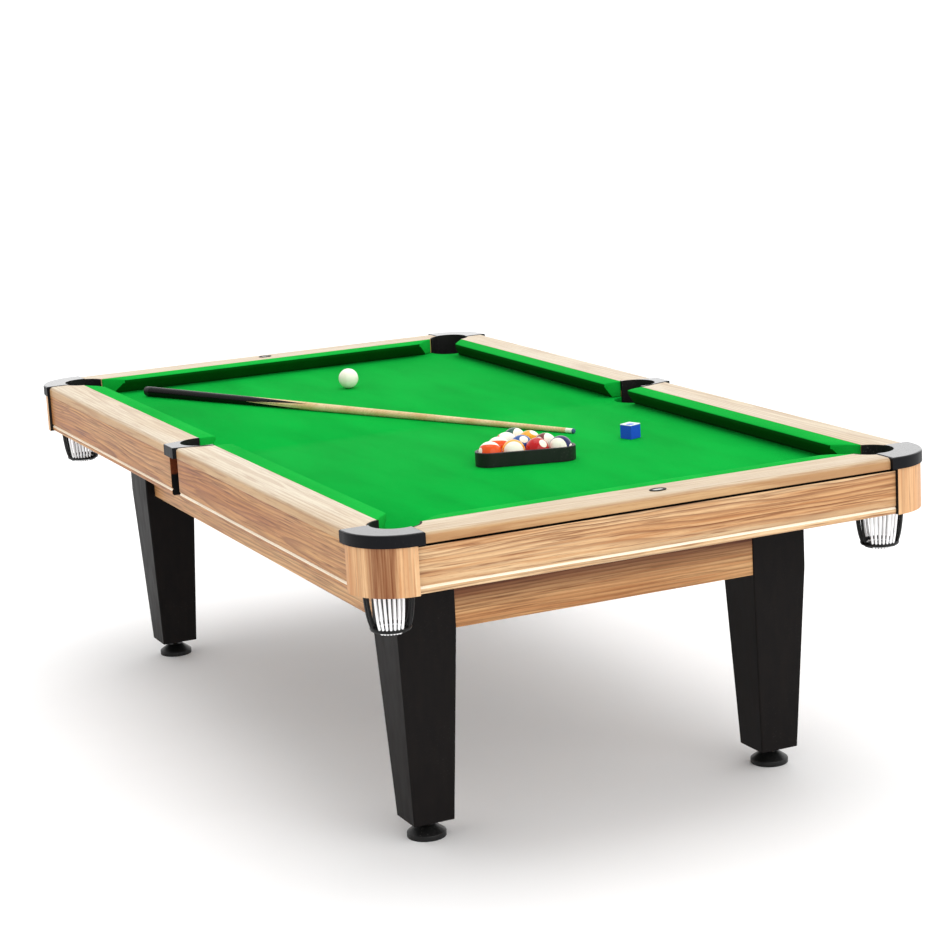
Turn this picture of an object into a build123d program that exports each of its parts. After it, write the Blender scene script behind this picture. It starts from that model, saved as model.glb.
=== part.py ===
"""An eight-foot pool table: slate bed, six cushioned rails, drop pockets with baskets, four legs.

Millimetres. The origin is on the floor under the middle of the table. X runs across the table,
Y along it, Z up. Most pieces are made once in the +X +Y quarter and mirrored to the others.
"""
import os
from math import atan2, cos, degrees, hypot, radians, sin, sqrt, tan

from build123d import *

# Playing field and rails
PLAY_LENGTH = 2235.0        # between the end cushions' noses
PLAY_WIDTH = 1118.0         # between the side cushions' noses
CUSHION_WIDTH = 48.0        # nose to the wooden rail
NOSE_HEIGHT = 36.0          # nose above the cloth
NOSE_ROUND = 5.0            # radius of the nose
CUSHION_FALL = 3.0          # how far the cushion's top drops towards its nose
CUSHION_UNDERCUT = 22.0     # how far the cushion's foot stands back from its nose
RAIL_WIDTH = 89.0           # rail top, from the cushion to the skirt's outer face
RAIL_TOP = 790.0            # above the floor
RAIL_DEPTH = 43.0           # rail top above the cloth
CAP_THICKNESS = 26.0        # overhanging part of the rail
CAP_OVERHANG = 4.0          # cap past the skirt
CAP_TOP_ROUND = 11.0        # bullnose on the cap's upper outer edge
CAP_LOW_ROUND = 3.0         # softening of the cap's lower outer edge
RAIL_BODY_WIDTH = 52.0      # part of the rail that sits on the bed
SIDE_END_ROUND = 14.0       # rounded rail corner beside a side pocket
REVEAL = 0.6                # fine joint line between neighbouring wooden pieces

# Bed
CLOTH_THICKNESS = 1.5
SLATE_THICKNESS = 22.0
SLATE_COUNT = 3
LINER_WIDTH = 60.0          # wooden boards glued under the slate's edge
LINER_THICKNESS = 20.0
LINER_CLEARANCE = 8.0       # liner board to pocket drum

# Skirts and corner blocks
SKIRT_THICKNESS = 22.0
SKIRT_DROP = 132.0          # skirt's lower edge below the rail top
END_GAP = 5.0               # shadow gap between an end skirt and its rail
SKIRT_GROOVE_HEIGHT = 17.0  # groove above the skirt's lower edge
SKIRT_GROOVE_DEPTH = 3.5
SKIRT_LOW_ROUND = 7.0
BLOCK_REACH = 108.0         # corner block along each side, from the skirt's outer face
BLOCK_PROUD = 8.0           # corner block past the skirts
CORNER_ROUND = 104.0        # of the skirts' corner; block and casting run round the same centre
SIDE_SLOT = 60.0            # open slot between the two skirts at a side pocket

# Pockets
POCKET_RADIUS = 54.0
CORNER_MOUTH = 118.0        # between cushion noses at a corner
SIDE_MOUTH = 130.0          # between cushion noses at a side pocket
CORNER_OFFSET = 32.0        # corner pocket's centre outside the nose lines, both ways
SIDE_OFFSET = 60.0          # side pocket's centre outside the nose line
CASTING_REACH = 124.0       # corner casting along each side, from the skirt's outer face
CASTING_OVERHANG = 12.0     # casting past the skirt
CASTING_PROUD = 1.5         # casting above the rails
CASTING_ROUND = 4.0         # softened upper edge of a corner casting
SIDE_CASTING_ROUND = 1.8    # the same on a side casting, whose arms are thin
SIDE_ARM = 10.0             # side casting past the pocket's edge, at the cushion
SIDE_WAIST_ARM = 5.0        # the same at the casting's waist
SIDE_WAIST_REACH = 32.0     # waist beyond the pocket's centre
SIDE_NECK_LAP = 4.0         # casting over each skirt's end
DRUM_WALL = 4.0             # dark liner below each casting
CORNER_DRUM_DROP = 102.0    # drum's lower edge below the rail top
SIDE_DRUM_DROP = 75.0
DRUM_CLEARANCE = 0.5        # round a drum, in slate and rails
BASKET_RADIUS = 57.0        # at its rim
BASKET_DRAFT = 7.4          # degrees, narrowing downwards
CORNER_BASKET_HEIGHT = 127.0
SIDE_BASKET_HEIGHT = 70.0
CORNER_BASKET_OUT = 22.0    # basket's middle outside the corner pocket's, along the end
BASKET_WALL = 4.5
BASKET_RIM = 14.0           # height of the solid bands above and below the slots
BASKET_SLOTS = 16
BASKET_SLOT_WIDTH = 11.0
BASKET_FLOOR_HOLE = 22.0    # radius, too small for a ball

# Frame and legs
LEG_SIDE_INSET = 205.0      # leg centres from the bed's edges
LEG_END_INSET = 317.5
LEG_TOP_SIZE = 142.0        # square section beside the beams
LEG_FOOT_SIZE = 100.0       # square section at the bottom
LEG_BOTTOM = 44.0           # above the floor
LEG_EDGE_ROUND = 4.0
BEAM_DROP = 300.0           # beams' lower edge below the rail top
BEAM_THICKNESS = 28.0
SIDE_BEAM_RECESS = 25.0     # side beam behind the legs' outer faces
END_BEAM_RECESS = 4.0
CROSS_RAIL_WIDTH = 60.0
CROSS_RAIL_HEIGHT = 80.0
STUD_RADIUS = 8.0
STUD_ENGAGEMENT = 60.0      # stud inside the leg
STUD_CLEARANCE = 0.3
INSERT_WALL = 4.5
INSERT_CLEARANCE = 0.2
PAD_RADIUS = 45.0
PAD_EDGE = 12.0             # height of the pad's upright edge
PAD_HEIGHT = 30.0
PAD_NECK_RADIUS = 20.0

# Brackets and bolts
BRACKET_LEG = 60.0          # angle bracket between a leg and a beam
BRACKET_THICKNESS = 4.0
BRACKET_HEIGHT = 150.0
BRACKET_BOLT_SPACING = 90.0
BRACKET_BOLT_RADIUS = 4.0
BRACKET_BOLT_GRIP = 30.0    # in the wood of a leg
BEAM_SCREW_GRIP = 20.0      # in the wood of a beam
BOLT_HEAD_ACROSS = 15.0
BOLT_HEAD_HEIGHT = 6.0
BOLT_HOLE_CLEARANCE = 0.3
RAIL_BOLTS = 3              # in each rail
RAIL_BOLT_RADIUS = 5.0
RAIL_BOLT_BITE = 22.0       # thread in the rail
WASHER_RADIUS = 14.0
WASHER_THICKNESS = 2.0
SKIRT_BRACKET_FOOT = 46.0   # against the liner board
SKIRT_BRACKET_DROP = 40.0   # against the skirt
SKIRT_BRACKET_WIDTH = 40.0
SKIRT_BRACKET_THICKNESS = 3.0

# Loose things on the cloth
REST_CLEARANCE = 0.3        # under each loose thing
BALL_RADIUS = 28.6
RACK_ROWS = 4
BALL_GAP = 0.3
RACK_X = 15.0
RACK_FROM_FRONT = 594.5     # rack's middle from the front cushion's nose
RACK_TURN = -16.0           # degrees, seen from above
RACK_WALL = 7.0
RACK_HEIGHT = 35.0
RACK_CLEARANCE = 0.6        # round the balls
CUE_BALL_X = 75.0
CUE_BALL_FROM_BACK = 391.5  # from the back cushion's nose
CUE_X = -91.0               # cue's middle
CUE_FROM_BACK = 771.5       # cue's middle from the back cushion's nose
CUE_TURN = 117.4            # degrees from +X, tip to butt
CUE_LENGTH = 1524.0
CUE_TIP_RADIUS = 6.3
CUE_BUTT_RADIUS = 14.5
CUE_TIP_LENGTH = 26.0       # ferrule and leather
CUE_BUTT_LENGTH = 640.0
CHALK_X = 342.0
CHALK_FROM_FRONT = 644.5    # from the front cushion's nose
CHALK_SIZE = 36.0
CHALK_TURN = 20.0
CHALK_DIMPLE_RADIUS = 40.0
CHALK_DIMPLE_DEPTH = 3.0

# Levels and lines that follow from the sizes above
NOSE_X = PLAY_WIDTH / 2
NOSE_Y = PLAY_LENGTH / 2
CLOTH_TOP = RAIL_TOP - RAIL_DEPTH
SLATE_TOP = CLOTH_TOP - CLOTH_THICKNESS
SLATE_BOTTOM = SLATE_TOP - SLATE_THICKNESS
LINER_BOTTOM = SLATE_BOTTOM - LINER_THICKNESS
CAP_BOTTOM = RAIL_TOP - CAP_THICKNESS
SKIRT_BOTTOM = RAIL_TOP - SKIRT_DROP
BEAM_BOTTOM = RAIL_TOP - BEAM_DROP
CORNER_DRUM_BOTTOM = RAIL_TOP - CORNER_DRUM_DROP
SIDE_DRUM_BOTTOM = RAIL_TOP - SIDE_DRUM_DROP
SKIRT_REACH = CUSHION_WIDTH + RAIL_WIDTH
BED_REACH = CUSHION_WIDTH + RAIL_BODY_WIDTH
SKIRT_X = NOSE_X + SKIRT_REACH
SKIRT_Y = NOSE_Y + SKIRT_REACH
BED_X = NOSE_X + BED_REACH
BED_Y = NOSE_Y + BED_REACH
CORNER_POCKET = (NOSE_X + CORNER_OFFSET, NOSE_Y + CORNER_OFFSET)
SIDE_POCKET = (NOSE_X + SIDE_OFFSET, 0.0)
DRUM_RADIUS = POCKET_RADIUS + DRUM_WALL
LEG_X = BED_X - LEG_SIDE_INSET
LEG_Y = BED_Y - LEG_END_INSET
SIDE_BEAM_X = LEG_X + LEG_TOP_SIZE / 2 - SIDE_BEAM_RECESS
END_BEAM_Y = LEG_Y + LEG_TOP_SIZE / 2 - END_BEAM_RECESS
LEG_INNER_X = LEG_X - LEG_TOP_SIZE / 2
LEG_INNER_Y = LEG_Y - LEG_TOP_SIZE / 2
BEAM_HEIGHT = SLATE_BOTTOM - BEAM_BOTTOM
BRACKET_CENTRE = BEAM_BOTTOM + BEAM_HEIGHT / 2
SIDE_RAIL_START = SIDE_SLOT / 2
SIDE_RAIL_END = SKIRT_Y - CASTING_REACH
END_RAIL_END = SKIRT_X - CASTING_REACH
SIDE_SKIRT_END = SKIRT_Y - BLOCK_REACH
END_SKIRT_END = SKIRT_X - BLOCK_REACH
REST_LEVEL = CLOTH_TOP + REST_CLEARANCE
RACK_Y = RACK_FROM_FRONT - NOSE_Y
CHALK_Y = CHALK_FROM_FRONT - NOSE_Y
CUE_Y = NOSE_Y - CUE_FROM_BACK
CUE_BALL_Y = NOSE_Y - CUE_BALL_FROM_BACK

QUARTERS = {"front_left": (-1, -1), "front_right": (1, -1), "back_left": (-1, 1), "back_right": (1, 1)}
SIDES = {"left": -1, "right": 1}
ENDS = {"front": -1, "back": 1}


def to_quarter(shape, side, end):
    """Mirrors a piece of the +X +Y quarter to another quarter."""
    if side < 0:
        shape = mirror(shape, about=Plane.YZ)
    if end < 0:
        shape = mirror(shape, about=Plane.XZ)
    return shape


def block(x, y, z):
    """A box between two x, two y and two z values."""
    size = Box(x[1] - x[0], y[1] - y[0], z[1] - z[0])
    return Pos((x[0] + x[1]) / 2, (y[0] + y[1]) / 2, (z[0] + z[1]) / 2) * size


def upright(centre, radius, z):
    """A vertical cylinder between two z values."""
    post = Cylinder(radius, z[1] - z[0], align=(Align.CENTER, Align.CENTER, Align.MIN))
    return Pos(centre[0], centre[1], z[0]) * post


def round_corner(sketch, point, radius):
    """Rounds the corner of a flat outline that lies nearest to a point."""
    corner = sketch.vertices().sort_by_distance(Vector(*point))[0]
    return fillet(corner, radius)


def outline(*points):
    return make_face(Polyline(*points, close=True))


def along_side(section, start, end):
    """Sweeps an outward and upward section along the +X side, measured from the cushion's nose."""
    plane = Plane(origin=(NOSE_X, start, 0), x_dir=(1, 0, 0), z_dir=(0, -1, 0))
    return extrude(plane * section, amount=end - start, dir=(0, 1, 0))


def along_end(section, start, end):
    """The same along the +Y end."""
    plane = Plane(origin=(start, NOSE_Y, 0), x_dir=(0, 1, 0), z_dir=(1, 0, 0))
    return extrude(plane * section, amount=end - start, dir=(1, 0, 0))


def spaced(start, end, count):
    """Middles of equal shares of a length."""
    step = (end - start) / count
    return [start + step * (index + 0.5) for index in range(count)]


def between(start, end, count):
    """The joints between equal shares of a length."""
    step = (end - start) / count
    return [start + step * index for index in range(1, count)]


def rail_bolt_places():
    """Where the bolts of one side rail and of one end rail come up through the bed."""
    reach = CUSHION_WIDTH + RAIL_BODY_WIDTH / 2
    side = [(NOSE_X + reach, y) for y in spaced(SIDE_RAIL_START, SIDE_RAIL_END, RAIL_BOLTS)]
    end = [(x, NOSE_Y + reach) for x in spaced(-END_RAIL_END, END_RAIL_END, RAIL_BOLTS)]
    return side, end


def all_rail_bolt_places():
    side, end = rail_bolt_places()
    places = [(sx * x, sy * y) for sx, sy in QUARTERS.values() for x, y in side]
    return places + [(x, sy * y) for sy in ENDS.values() for x, y in end]


def pocket_cut(centre, z):
    """Room for a pocket's drum in the bed, rails and cushions."""
    return upright(centre, DRUM_RADIUS + DRUM_CLEARANCE, z)


def pocket_notches(z):
    """The bed's six pocket cut-outs, each open to the bed's edge."""
    radius = DRUM_RADIUS + DRUM_CLEARANCE
    x, y = CORNER_POCKET
    corner = pocket_cut(CORNER_POCKET, z) + block((x - radius, BED_X), (y, BED_Y), z)
    corner += block((x, BED_X), (y - radius, BED_Y), z)
    side = pocket_cut(SIDE_POCKET, z) + block((SIDE_POCKET[0], BED_X), (-radius, radius), z)
    notches = [to_quarter(corner, sx, sy) for sx, sy in QUARTERS.values()]
    return notches + [to_quarter(side, sx, 1) for sx in SIDES.values()]


def bed_plate(z):
    """A plate of the bed's outline with its six pockets and its bolt holes."""
    plate = block((-BED_X, BED_X), (-BED_Y, BED_Y), z)
    cuts = pocket_notches(z)
    hole = RAIL_BOLT_RADIUS + BOLT_HOLE_CLEARANCE
    cuts += [upright(place, hole, z) for place in all_rail_bolt_places()]
    return plate - cuts


def slate_bed():
    plate = bed_plate((SLATE_BOTTOM, SLATE_TOP))
    slab = 2 * BED_Y / SLATE_COUNT
    starts = [-BED_Y + slab * index for index in range(SLATE_COUNT)]
    height = (SLATE_BOTTOM, SLATE_TOP)
    return [plate & block((-BED_X, BED_X), (start, start + slab - REVEAL), height) for start in starts]


def bed_liners():
    """Boards under the slate's edge, which take the cloth's staples and the rail bolts."""
    height = (LINER_BOTTOM, SLATE_BOTTOM)
    stand_off = DRUM_RADIUS + LINER_CLEARANCE
    side_span = (stand_off, CORNER_POCKET[1] - stand_off)
    end_span = (stand_off - CORNER_POCKET[0], CORNER_POCKET[0] - stand_off)
    side_board = block((BED_X - LINER_WIDTH, BED_X), side_span, height)
    end_board = block(end_span, (BED_Y - LINER_WIDTH, BED_Y), height)
    boards = [to_quarter(side_board, sx, sy) for sx, sy in QUARTERS.values()]
    boards += [to_quarter(end_board, 1, sy) for sy in ENDS.values()]
    hole = RAIL_BOLT_RADIUS + BOLT_HOLE_CLEARANCE
    holes = [upright(place, hole, height) for place in all_rail_bolt_places()]
    return [board - holes for board in boards]


def rail_section():
    """Rail across its length: a body on the bed and a cap that overhangs the skirt."""
    inner, body, outer = CUSHION_WIDTH, BED_REACH, SKIRT_REACH + CAP_OVERHANG
    shape = outline(
        (inner, CLOTH_TOP), (body, CLOTH_TOP), (body, CAP_BOTTOM),
        (outer, CAP_BOTTOM), (outer, RAIL_TOP), (inner, RAIL_TOP))
    shape = round_corner(shape, (outer, RAIL_TOP), CAP_TOP_ROUND)
    return round_corner(shape, (outer, CAP_BOTTOM), CAP_LOW_ROUND)


def cushion_section():
    """Rubber cushion under its cloth: a sloping top, a round nose and an undercut face."""
    nose = CLOTH_TOP + NOSE_HEIGHT
    shape = outline(
        (CUSHION_WIDTH, CLOTH_TOP), (CUSHION_UNDERCUT, CLOTH_TOP), (0, nose - NOSE_ROUND),
        (0, RAIL_TOP - CUSHION_FALL), (CUSHION_WIDTH, RAIL_TOP))
    shape = round_corner(shape, (0, nose - NOSE_ROUND), NOSE_ROUND)
    return round_corner(shape, (0, RAIL_TOP - CUSHION_FALL), NOSE_ROUND / 2)


def side_casting_plan(grow=0.0):
    """Top view of the casting at the +X side pocket, wider at the pocket than at its waist."""
    inner_x = NOSE_X + CUSHION_WIDTH
    waist_x = SIDE_POCKET[0] + SIDE_WAIST_REACH
    outer_x = SKIRT_X + CASTING_OVERHANG
    mouth = sqrt(POCKET_RADIUS ** 2 - (SIDE_OFFSET - CUSHION_WIDTH) ** 2) + SIDE_ARM + grow
    waist = sqrt(POCKET_RADIUS ** 2 - SIDE_WAIST_REACH ** 2) + SIDE_WAIST_ARM + grow
    neck = SIDE_SLOT / 2 + SIDE_NECK_LAP + grow
    upper = ThreePointArc((inner_x, mouth), (waist_x, waist), (outer_x, neck))
    lower = ThreePointArc((inner_x, -mouth), (waist_x, -waist), (outer_x, -neck))
    inner = Line((inner_x, -mouth), (inner_x, mouth))
    outer = Line((outer_x, -neck), (outer_x, neck))
    return make_face([upper, lower, inner, outer])


def rail_bolt_holes(places):
    hole = RAIL_BOLT_RADIUS + BOLT_HOLE_CLEARANCE
    top = CLOTH_TOP + RAIL_BOLT_BITE + BOLT_HOLE_CLEARANCE
    return [upright(place, hole, (CLOTH_TOP, top)) for place in places]


def side_rail():
    """Half of a long side's rail, from the side pocket to the corner casting."""
    outer_x, start, end = SKIRT_X + CAP_OVERHANG, SIDE_RAIL_START, SIDE_RAIL_END - REVEAL
    plan = outline((NOSE_X, start), (outer_x, start), (outer_x, end), (NOSE_X, end))
    plan = round_corner(plan, (outer_x, start), SIDE_END_ROUND)
    prism = Pos(0, 0, CLOTH_TOP) * extrude(plan, amount=RAIL_DEPTH)
    rail = along_side(rail_section(), start, end) & prism
    casting = extrude(side_casting_plan(REVEAL), amount=CAP_THICKNESS)
    cuts = [Pos(0, 0, CAP_BOTTOM) * casting]
    cuts += [pocket_cut(centre, (CLOTH_TOP, RAIL_TOP)) for centre in (CORNER_POCKET, SIDE_POCKET)]
    return rail - cuts - rail_bolt_holes(rail_bolt_places()[0])


def end_rail():
    rail = along_end(rail_section(), REVEAL - END_RAIL_END, END_RAIL_END - REVEAL)
    left_corner = (-CORNER_POCKET[0], CORNER_POCKET[1])
    cuts = [pocket_cut(centre, (CLOTH_TOP, RAIL_TOP)) for centre in (CORNER_POCKET, left_corner)]
    return rail - cuts - rail_bolt_holes(rail_bolt_places()[1])


def throat(offset):
    """Distance from a pocket's centre, along the rail, to where the cushion's back meets its drum."""
    radius = DRUM_RADIUS + DRUM_CLEARANCE
    return sqrt(radius ** 2 - (offset - CUSHION_WIDTH) ** 2)


def side_cushion():
    """Half of a long side's cushion, its ends cut back towards the two pockets."""
    side_end = SIDE_MOUTH / 2
    corner_end = NOSE_Y - CORNER_MOUTH / sqrt(2)
    back_x = NOSE_X + CUSHION_WIDTH
    plan = outline(
        (NOSE_X, side_end), (NOSE_X, corner_end),
        (back_x, CORNER_POCKET[1] - throat(CORNER_OFFSET)), (back_x, throat(SIDE_OFFSET)))
    prism = Pos(0, 0, CLOTH_TOP) * extrude(plan, amount=RAIL_DEPTH)
    bar = along_side(cushion_section(), 0, SKIRT_Y) & prism
    height = (CLOTH_TOP, RAIL_TOP)
    return bar - [pocket_cut(CORNER_POCKET, height), pocket_cut(SIDE_POCKET, height)]


def end_cushion():
    nose_end = NOSE_X - CORNER_MOUTH / sqrt(2)
    back_end = CORNER_POCKET[0] - throat(CORNER_OFFSET)
    back_y = NOSE_Y + CUSHION_WIDTH
    plan = outline((-nose_end, NOSE_Y), (nose_end, NOSE_Y), (back_end, back_y), (-back_end, back_y))
    prism = Pos(0, 0, CLOTH_TOP) * extrude(plan, amount=RAIL_DEPTH)
    bar = along_end(cushion_section(), -SKIRT_X, SKIRT_X) & prism
    height = (CLOTH_TOP, RAIL_TOP)
    left_corner = (-CORNER_POCKET[0], CORNER_POCKET[1])
    return bar - [pocket_cut(CORNER_POCKET, height), pocket_cut(left_corner, height)]


def skirt_section(top):
    """Apron board with a groove above its rounded lower edge."""
    outer, inner = SKIRT_REACH, SKIRT_REACH - SKIRT_THICKNESS
    groove = SKIRT_BOTTOM + SKIRT_GROOVE_HEIGHT
    shape = outline(
        (inner, SKIRT_BOTTOM), (outer, SKIRT_BOTTOM),
        (outer, groove - SKIRT_GROOVE_DEPTH), (outer - SKIRT_GROOVE_DEPTH, groove),
        (outer, groove + SKIRT_GROOVE_DEPTH), (outer, top), (inner, top))
    return round_corner(shape, (outer, SKIRT_BOTTOM), SKIRT_LOW_ROUND)


def side_skirt():
    return along_side(skirt_section(CAP_BOTTOM), SIDE_RAIL_START, SIDE_SKIRT_END - REVEAL)


def end_skirt():
    return along_end(skirt_section(CAP_BOTTOM - END_GAP), REVEAL - END_SKIRT_END, END_SKIRT_END - REVEAL)


def corner_square(inset, radius, reach):
    """Square in the +X +Y corner with its outer corner rounded."""
    far = (SKIRT_X - inset, SKIRT_Y - inset)
    square = Pos(*far) * Rectangle(reach, reach, align=(Align.MAX, Align.MAX))
    return round_corner(square, far, radius)


def corner_block():
    """Quarter-round block that turns the corner between two skirts."""
    outer = corner_square(-BLOCK_PROUD, CORNER_ROUND + BLOCK_PROUD, BLOCK_REACH + BLOCK_PROUD)
    hollow = corner_square(SKIRT_THICKNESS, CORNER_ROUND - SKIRT_THICKNESS, BLOCK_REACH)
    return Pos(0, 0, SKIRT_BOTTOM) * extrude(outer - hollow, amount=CAP_BOTTOM - SKIRT_BOTTOM)


def softened(plan, radius):
    """Casting of a top view's outline, with its upper edges rounded all round the pocket's crisp rim."""
    body = Pos(0, 0, CAP_BOTTOM) * extrude(plan, amount=CAP_THICKNESS + CASTING_PROUD)
    edges = body.faces().sort_by(Axis.Z)[-1].edges()
    rim = edges.filter_by(GeomType.CIRCLE).sort_by(SortBy.RADIUS)[0]
    return fillet([edge for edge in edges if edge != rim], radius)


def corner_casting_plan(grow=0.0):
    """Top view of a corner casting before its pocket is cut."""
    overhang = CASTING_OVERHANG
    return corner_square(-overhang, CORNER_ROUND + overhang, CASTING_REACH + overhang + grow)


def corner_casting():
    plan = corner_casting_plan() - Pos(*CORNER_POCKET) * Circle(POCKET_RADIUS)
    return softened(plan, CASTING_ROUND)


def side_casting():
    plan = side_casting_plan() - Pos(*SIDE_POCKET) * Circle(POCKET_RADIUS)
    return softened(plan, SIDE_CASTING_ROUND)


def drum(centre, mouth_turn, mouth_depth, height):
    """Dark liner of a pocket: a ring below the slate, open to the table above it."""
    ring = upright((0, 0), DRUM_RADIUS, height) - upright((0, 0), POCKET_RADIUS, height)
    mouth = block((mouth_depth, DRUM_RADIUS), (-DRUM_RADIUS, DRUM_RADIUS), (SLATE_BOTTOM, height[1]))
    return Pos(*centre) * Rot(0, 0, mouth_turn) * (ring - mouth)


def corner_pocket_liners():
    """Four drums, which also line the rails' cut ends beside the castings."""
    mouth_depth = (throat(CORNER_OFFSET) - (CUSHION_WIDTH - CORNER_OFFSET)) / sqrt(2)
    liner = drum(CORNER_POCKET, -135, mouth_depth, (CORNER_DRUM_BOTTOM, RAIL_TOP))
    liner -= Pos(0, 0, CAP_BOTTOM) * extrude(corner_casting_plan(REVEAL), amount=CAP_THICKNESS)
    return [to_quarter(liner, sx, sy) for sx, sy in QUARTERS.values()]


def side_pocket_liners():
    """Two drums, which end below the side castings."""
    liner = drum(SIDE_POCKET, 180, SIDE_OFFSET - CUSHION_WIDTH, (SIDE_DRUM_BOTTOM, CAP_BOTTOM))
    return [to_quarter(liner, sx, 1) for sx in SIDES.values()]


def basket(height):
    """Slotted cup that catches the balls, narrowing downwards. Its rim's middle is at the origin."""
    foot = BASKET_RADIUS - height * tan(radians(BASKET_DRAFT))
    top = (Align.CENTER, Align.CENTER, Align.MAX)
    cup = Cone(foot, BASKET_RADIUS, height, align=top)
    room = Cone(foot - BASKET_WALL, BASKET_RADIUS - BASKET_WALL, height, align=top)
    floor = block((-foot, foot), (-foot, foot), (-height, BASKET_WALL - height))
    cup -= room - floor
    cup -= upright((0, 0), BASKET_FLOOR_HOLE, (-height, BASKET_WALL - height))
    half = BASKET_SLOT_WIDTH / 2
    slot = block((BASKET_FLOOR_HOLE, 2 * BASKET_RADIUS), (-half, half), (BASKET_RIM - height, -BASKET_RIM))
    turns = [360 * (index + 0.5) / BASKET_SLOTS for index in range(BASKET_SLOTS)]
    return cup - [Rot(0, 0, turn) * slot for turn in turns]


def corner_baskets():
    """Four baskets, each hung a little further out than its pocket."""
    x, y = CORNER_POCKET
    hung = Pos(x + CORNER_BASKET_OUT, y, CORNER_DRUM_BOTTOM) * basket(CORNER_BASKET_HEIGHT)
    return [to_quarter(hung, sx, sy) for sx, sy in QUARTERS.values()]


def side_baskets():
    hung = Pos(*SIDE_POCKET, SIDE_DRUM_BOTTOM) * basket(SIDE_BASKET_HEIGHT)
    return [to_quarter(hung, sx, 1) for sx in SIDES.values()]


def bolt(radius, grip, washer=0.0):
    """Hexagon bolt along +Z, with its head, and any washer, below the origin."""
    shank = Cylinder(radius, grip, align=(Align.CENTER, Align.CENTER, Align.MIN))
    head = extrude(RegularPolygon(BOLT_HEAD_ACROSS / 2, 6, major_radius=False), amount=BOLT_HEAD_HEIGHT)
    made = shank + Pos(0, 0, -washer - BOLT_HEAD_HEIGHT) * head
    if washer:
        made += Pos(0, 0, -washer) * extrude(Circle(WASHER_RADIUS), amount=washer)
    return made


def rail_bolts():
    grip = CLOTH_TOP + RAIL_BOLT_BITE - LINER_BOTTOM
    one = bolt(RAIL_BOLT_RADIUS, grip, WASHER_THICKNESS)
    return [Pos(x, y, LINER_BOTTOM) * one for x, y in all_rail_bolt_places()]


def skirt_bracket():
    """Angle that carries a skirt from a liner board. Its corner is at the origin, its foot along -X."""
    foot = block((-SKIRT_BRACKET_FOOT, 0), (0, SKIRT_BRACKET_WIDTH), (-SKIRT_BRACKET_THICKNESS, 0))
    drop = block((-SKIRT_BRACKET_THICKNESS, 0), (0, SKIRT_BRACKET_WIDTH), (-SKIRT_BRACKET_DROP, 0))
    return Pos(0, -SKIRT_BRACKET_WIDTH / 2, 0) * (foot + drop)


def skirt_brackets():
    angle = skirt_bracket()
    inner_x = SKIRT_X - SKIRT_THICKNESS
    inner_y = SKIRT_Y - SKIRT_THICKNESS
    made = []
    for y in between(SIDE_RAIL_START, SIDE_RAIL_END, RAIL_BOLTS):
        at_side = Pos(inner_x, y, LINER_BOTTOM) * angle
        made += [to_quarter(at_side, sx, sy) for sx, sy in QUARTERS.values()]
    for x in between(-END_RAIL_END, END_RAIL_END, RAIL_BOLTS):
        at_end = Pos(x, inner_y, LINER_BOTTOM) * Rot(0, 0, 90) * angle
        made += [to_quarter(at_end, 1, sy) for sy in ENDS.values()]
    return made


def leg_bracket_frames():
    """Frames of one leg's two angle brackets. Each has X into a beam and Y into the leg."""
    beam_side = Plane(
        origin=(SIDE_BEAM_X - BEAM_THICKNESS, LEG_INNER_Y, BRACKET_CENTRE), x_dir=(1, 0, 0), z_dir=(0, 0, 1))
    beam_end = Plane(
        origin=(LEG_INNER_X, END_BEAM_Y - BEAM_THICKNESS, BRACKET_CENTRE), x_dir=(0, 1, 0), z_dir=(0, 0, -1))
    return [beam_side, beam_end]


def bracket_bolt_places():
    """Bolts of one bracket, in its own frame: a place and a grip for each, into the beam and the leg."""
    middle = -(BRACKET_THICKNESS + BRACKET_LEG) / 2
    heights = (-BRACKET_BOLT_SPACING / 2, BRACKET_BOLT_SPACING / 2)
    into_beam = [Pos(-BRACKET_THICKNESS, middle, z) * Rot(0, 90, 0) for z in heights]
    into_leg = [Pos(middle, -BRACKET_THICKNESS, z) * Rot(-90, 0, 0) for z in heights]
    beam_screws = [(place, BEAM_SCREW_GRIP) for place in into_beam]
    return beam_screws + [(place, BRACKET_BOLT_GRIP) for place in into_leg]


def bracket_bolt_holes(plane):
    """Holes for one bracket's bolts, through the bracket and into the wood."""
    radius = BRACKET_BOLT_RADIUS + BOLT_HOLE_CLEARANCE
    low = (Align.CENTER, Align.CENTER, Align.MIN)
    holes = []
    for place, grip in bracket_bolt_places():
        depth = BRACKET_THICKNESS + grip + BOLT_HOLE_CLEARANCE
        holes.append(plane.location * place * Cylinder(radius, depth, align=low))
    return holes


def leg_brackets():
    made = []
    height = (-BRACKET_HEIGHT / 2, BRACKET_HEIGHT / 2)
    wings = block((-BRACKET_LEG, 0), (-BRACKET_THICKNESS, 0), height)
    wings += block((-BRACKET_THICKNESS, 0), (-BRACKET_LEG, 0), height)
    for plane in leg_bracket_frames():
        angle = plane.location * wings - bracket_bolt_holes(plane)
        made += [to_quarter(angle, sx, sy) for sx, sy in QUARTERS.values()]
    return made


def bracket_bolts():
    made = []
    for plane in leg_bracket_frames():
        for place, grip in bracket_bolt_places():
            one = plane.location * place * bolt(BRACKET_BOLT_RADIUS, BRACKET_THICKNESS + grip)
            made += [to_quarter(one, sx, sy) for sx, sy in QUARTERS.values()]
    return made


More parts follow.
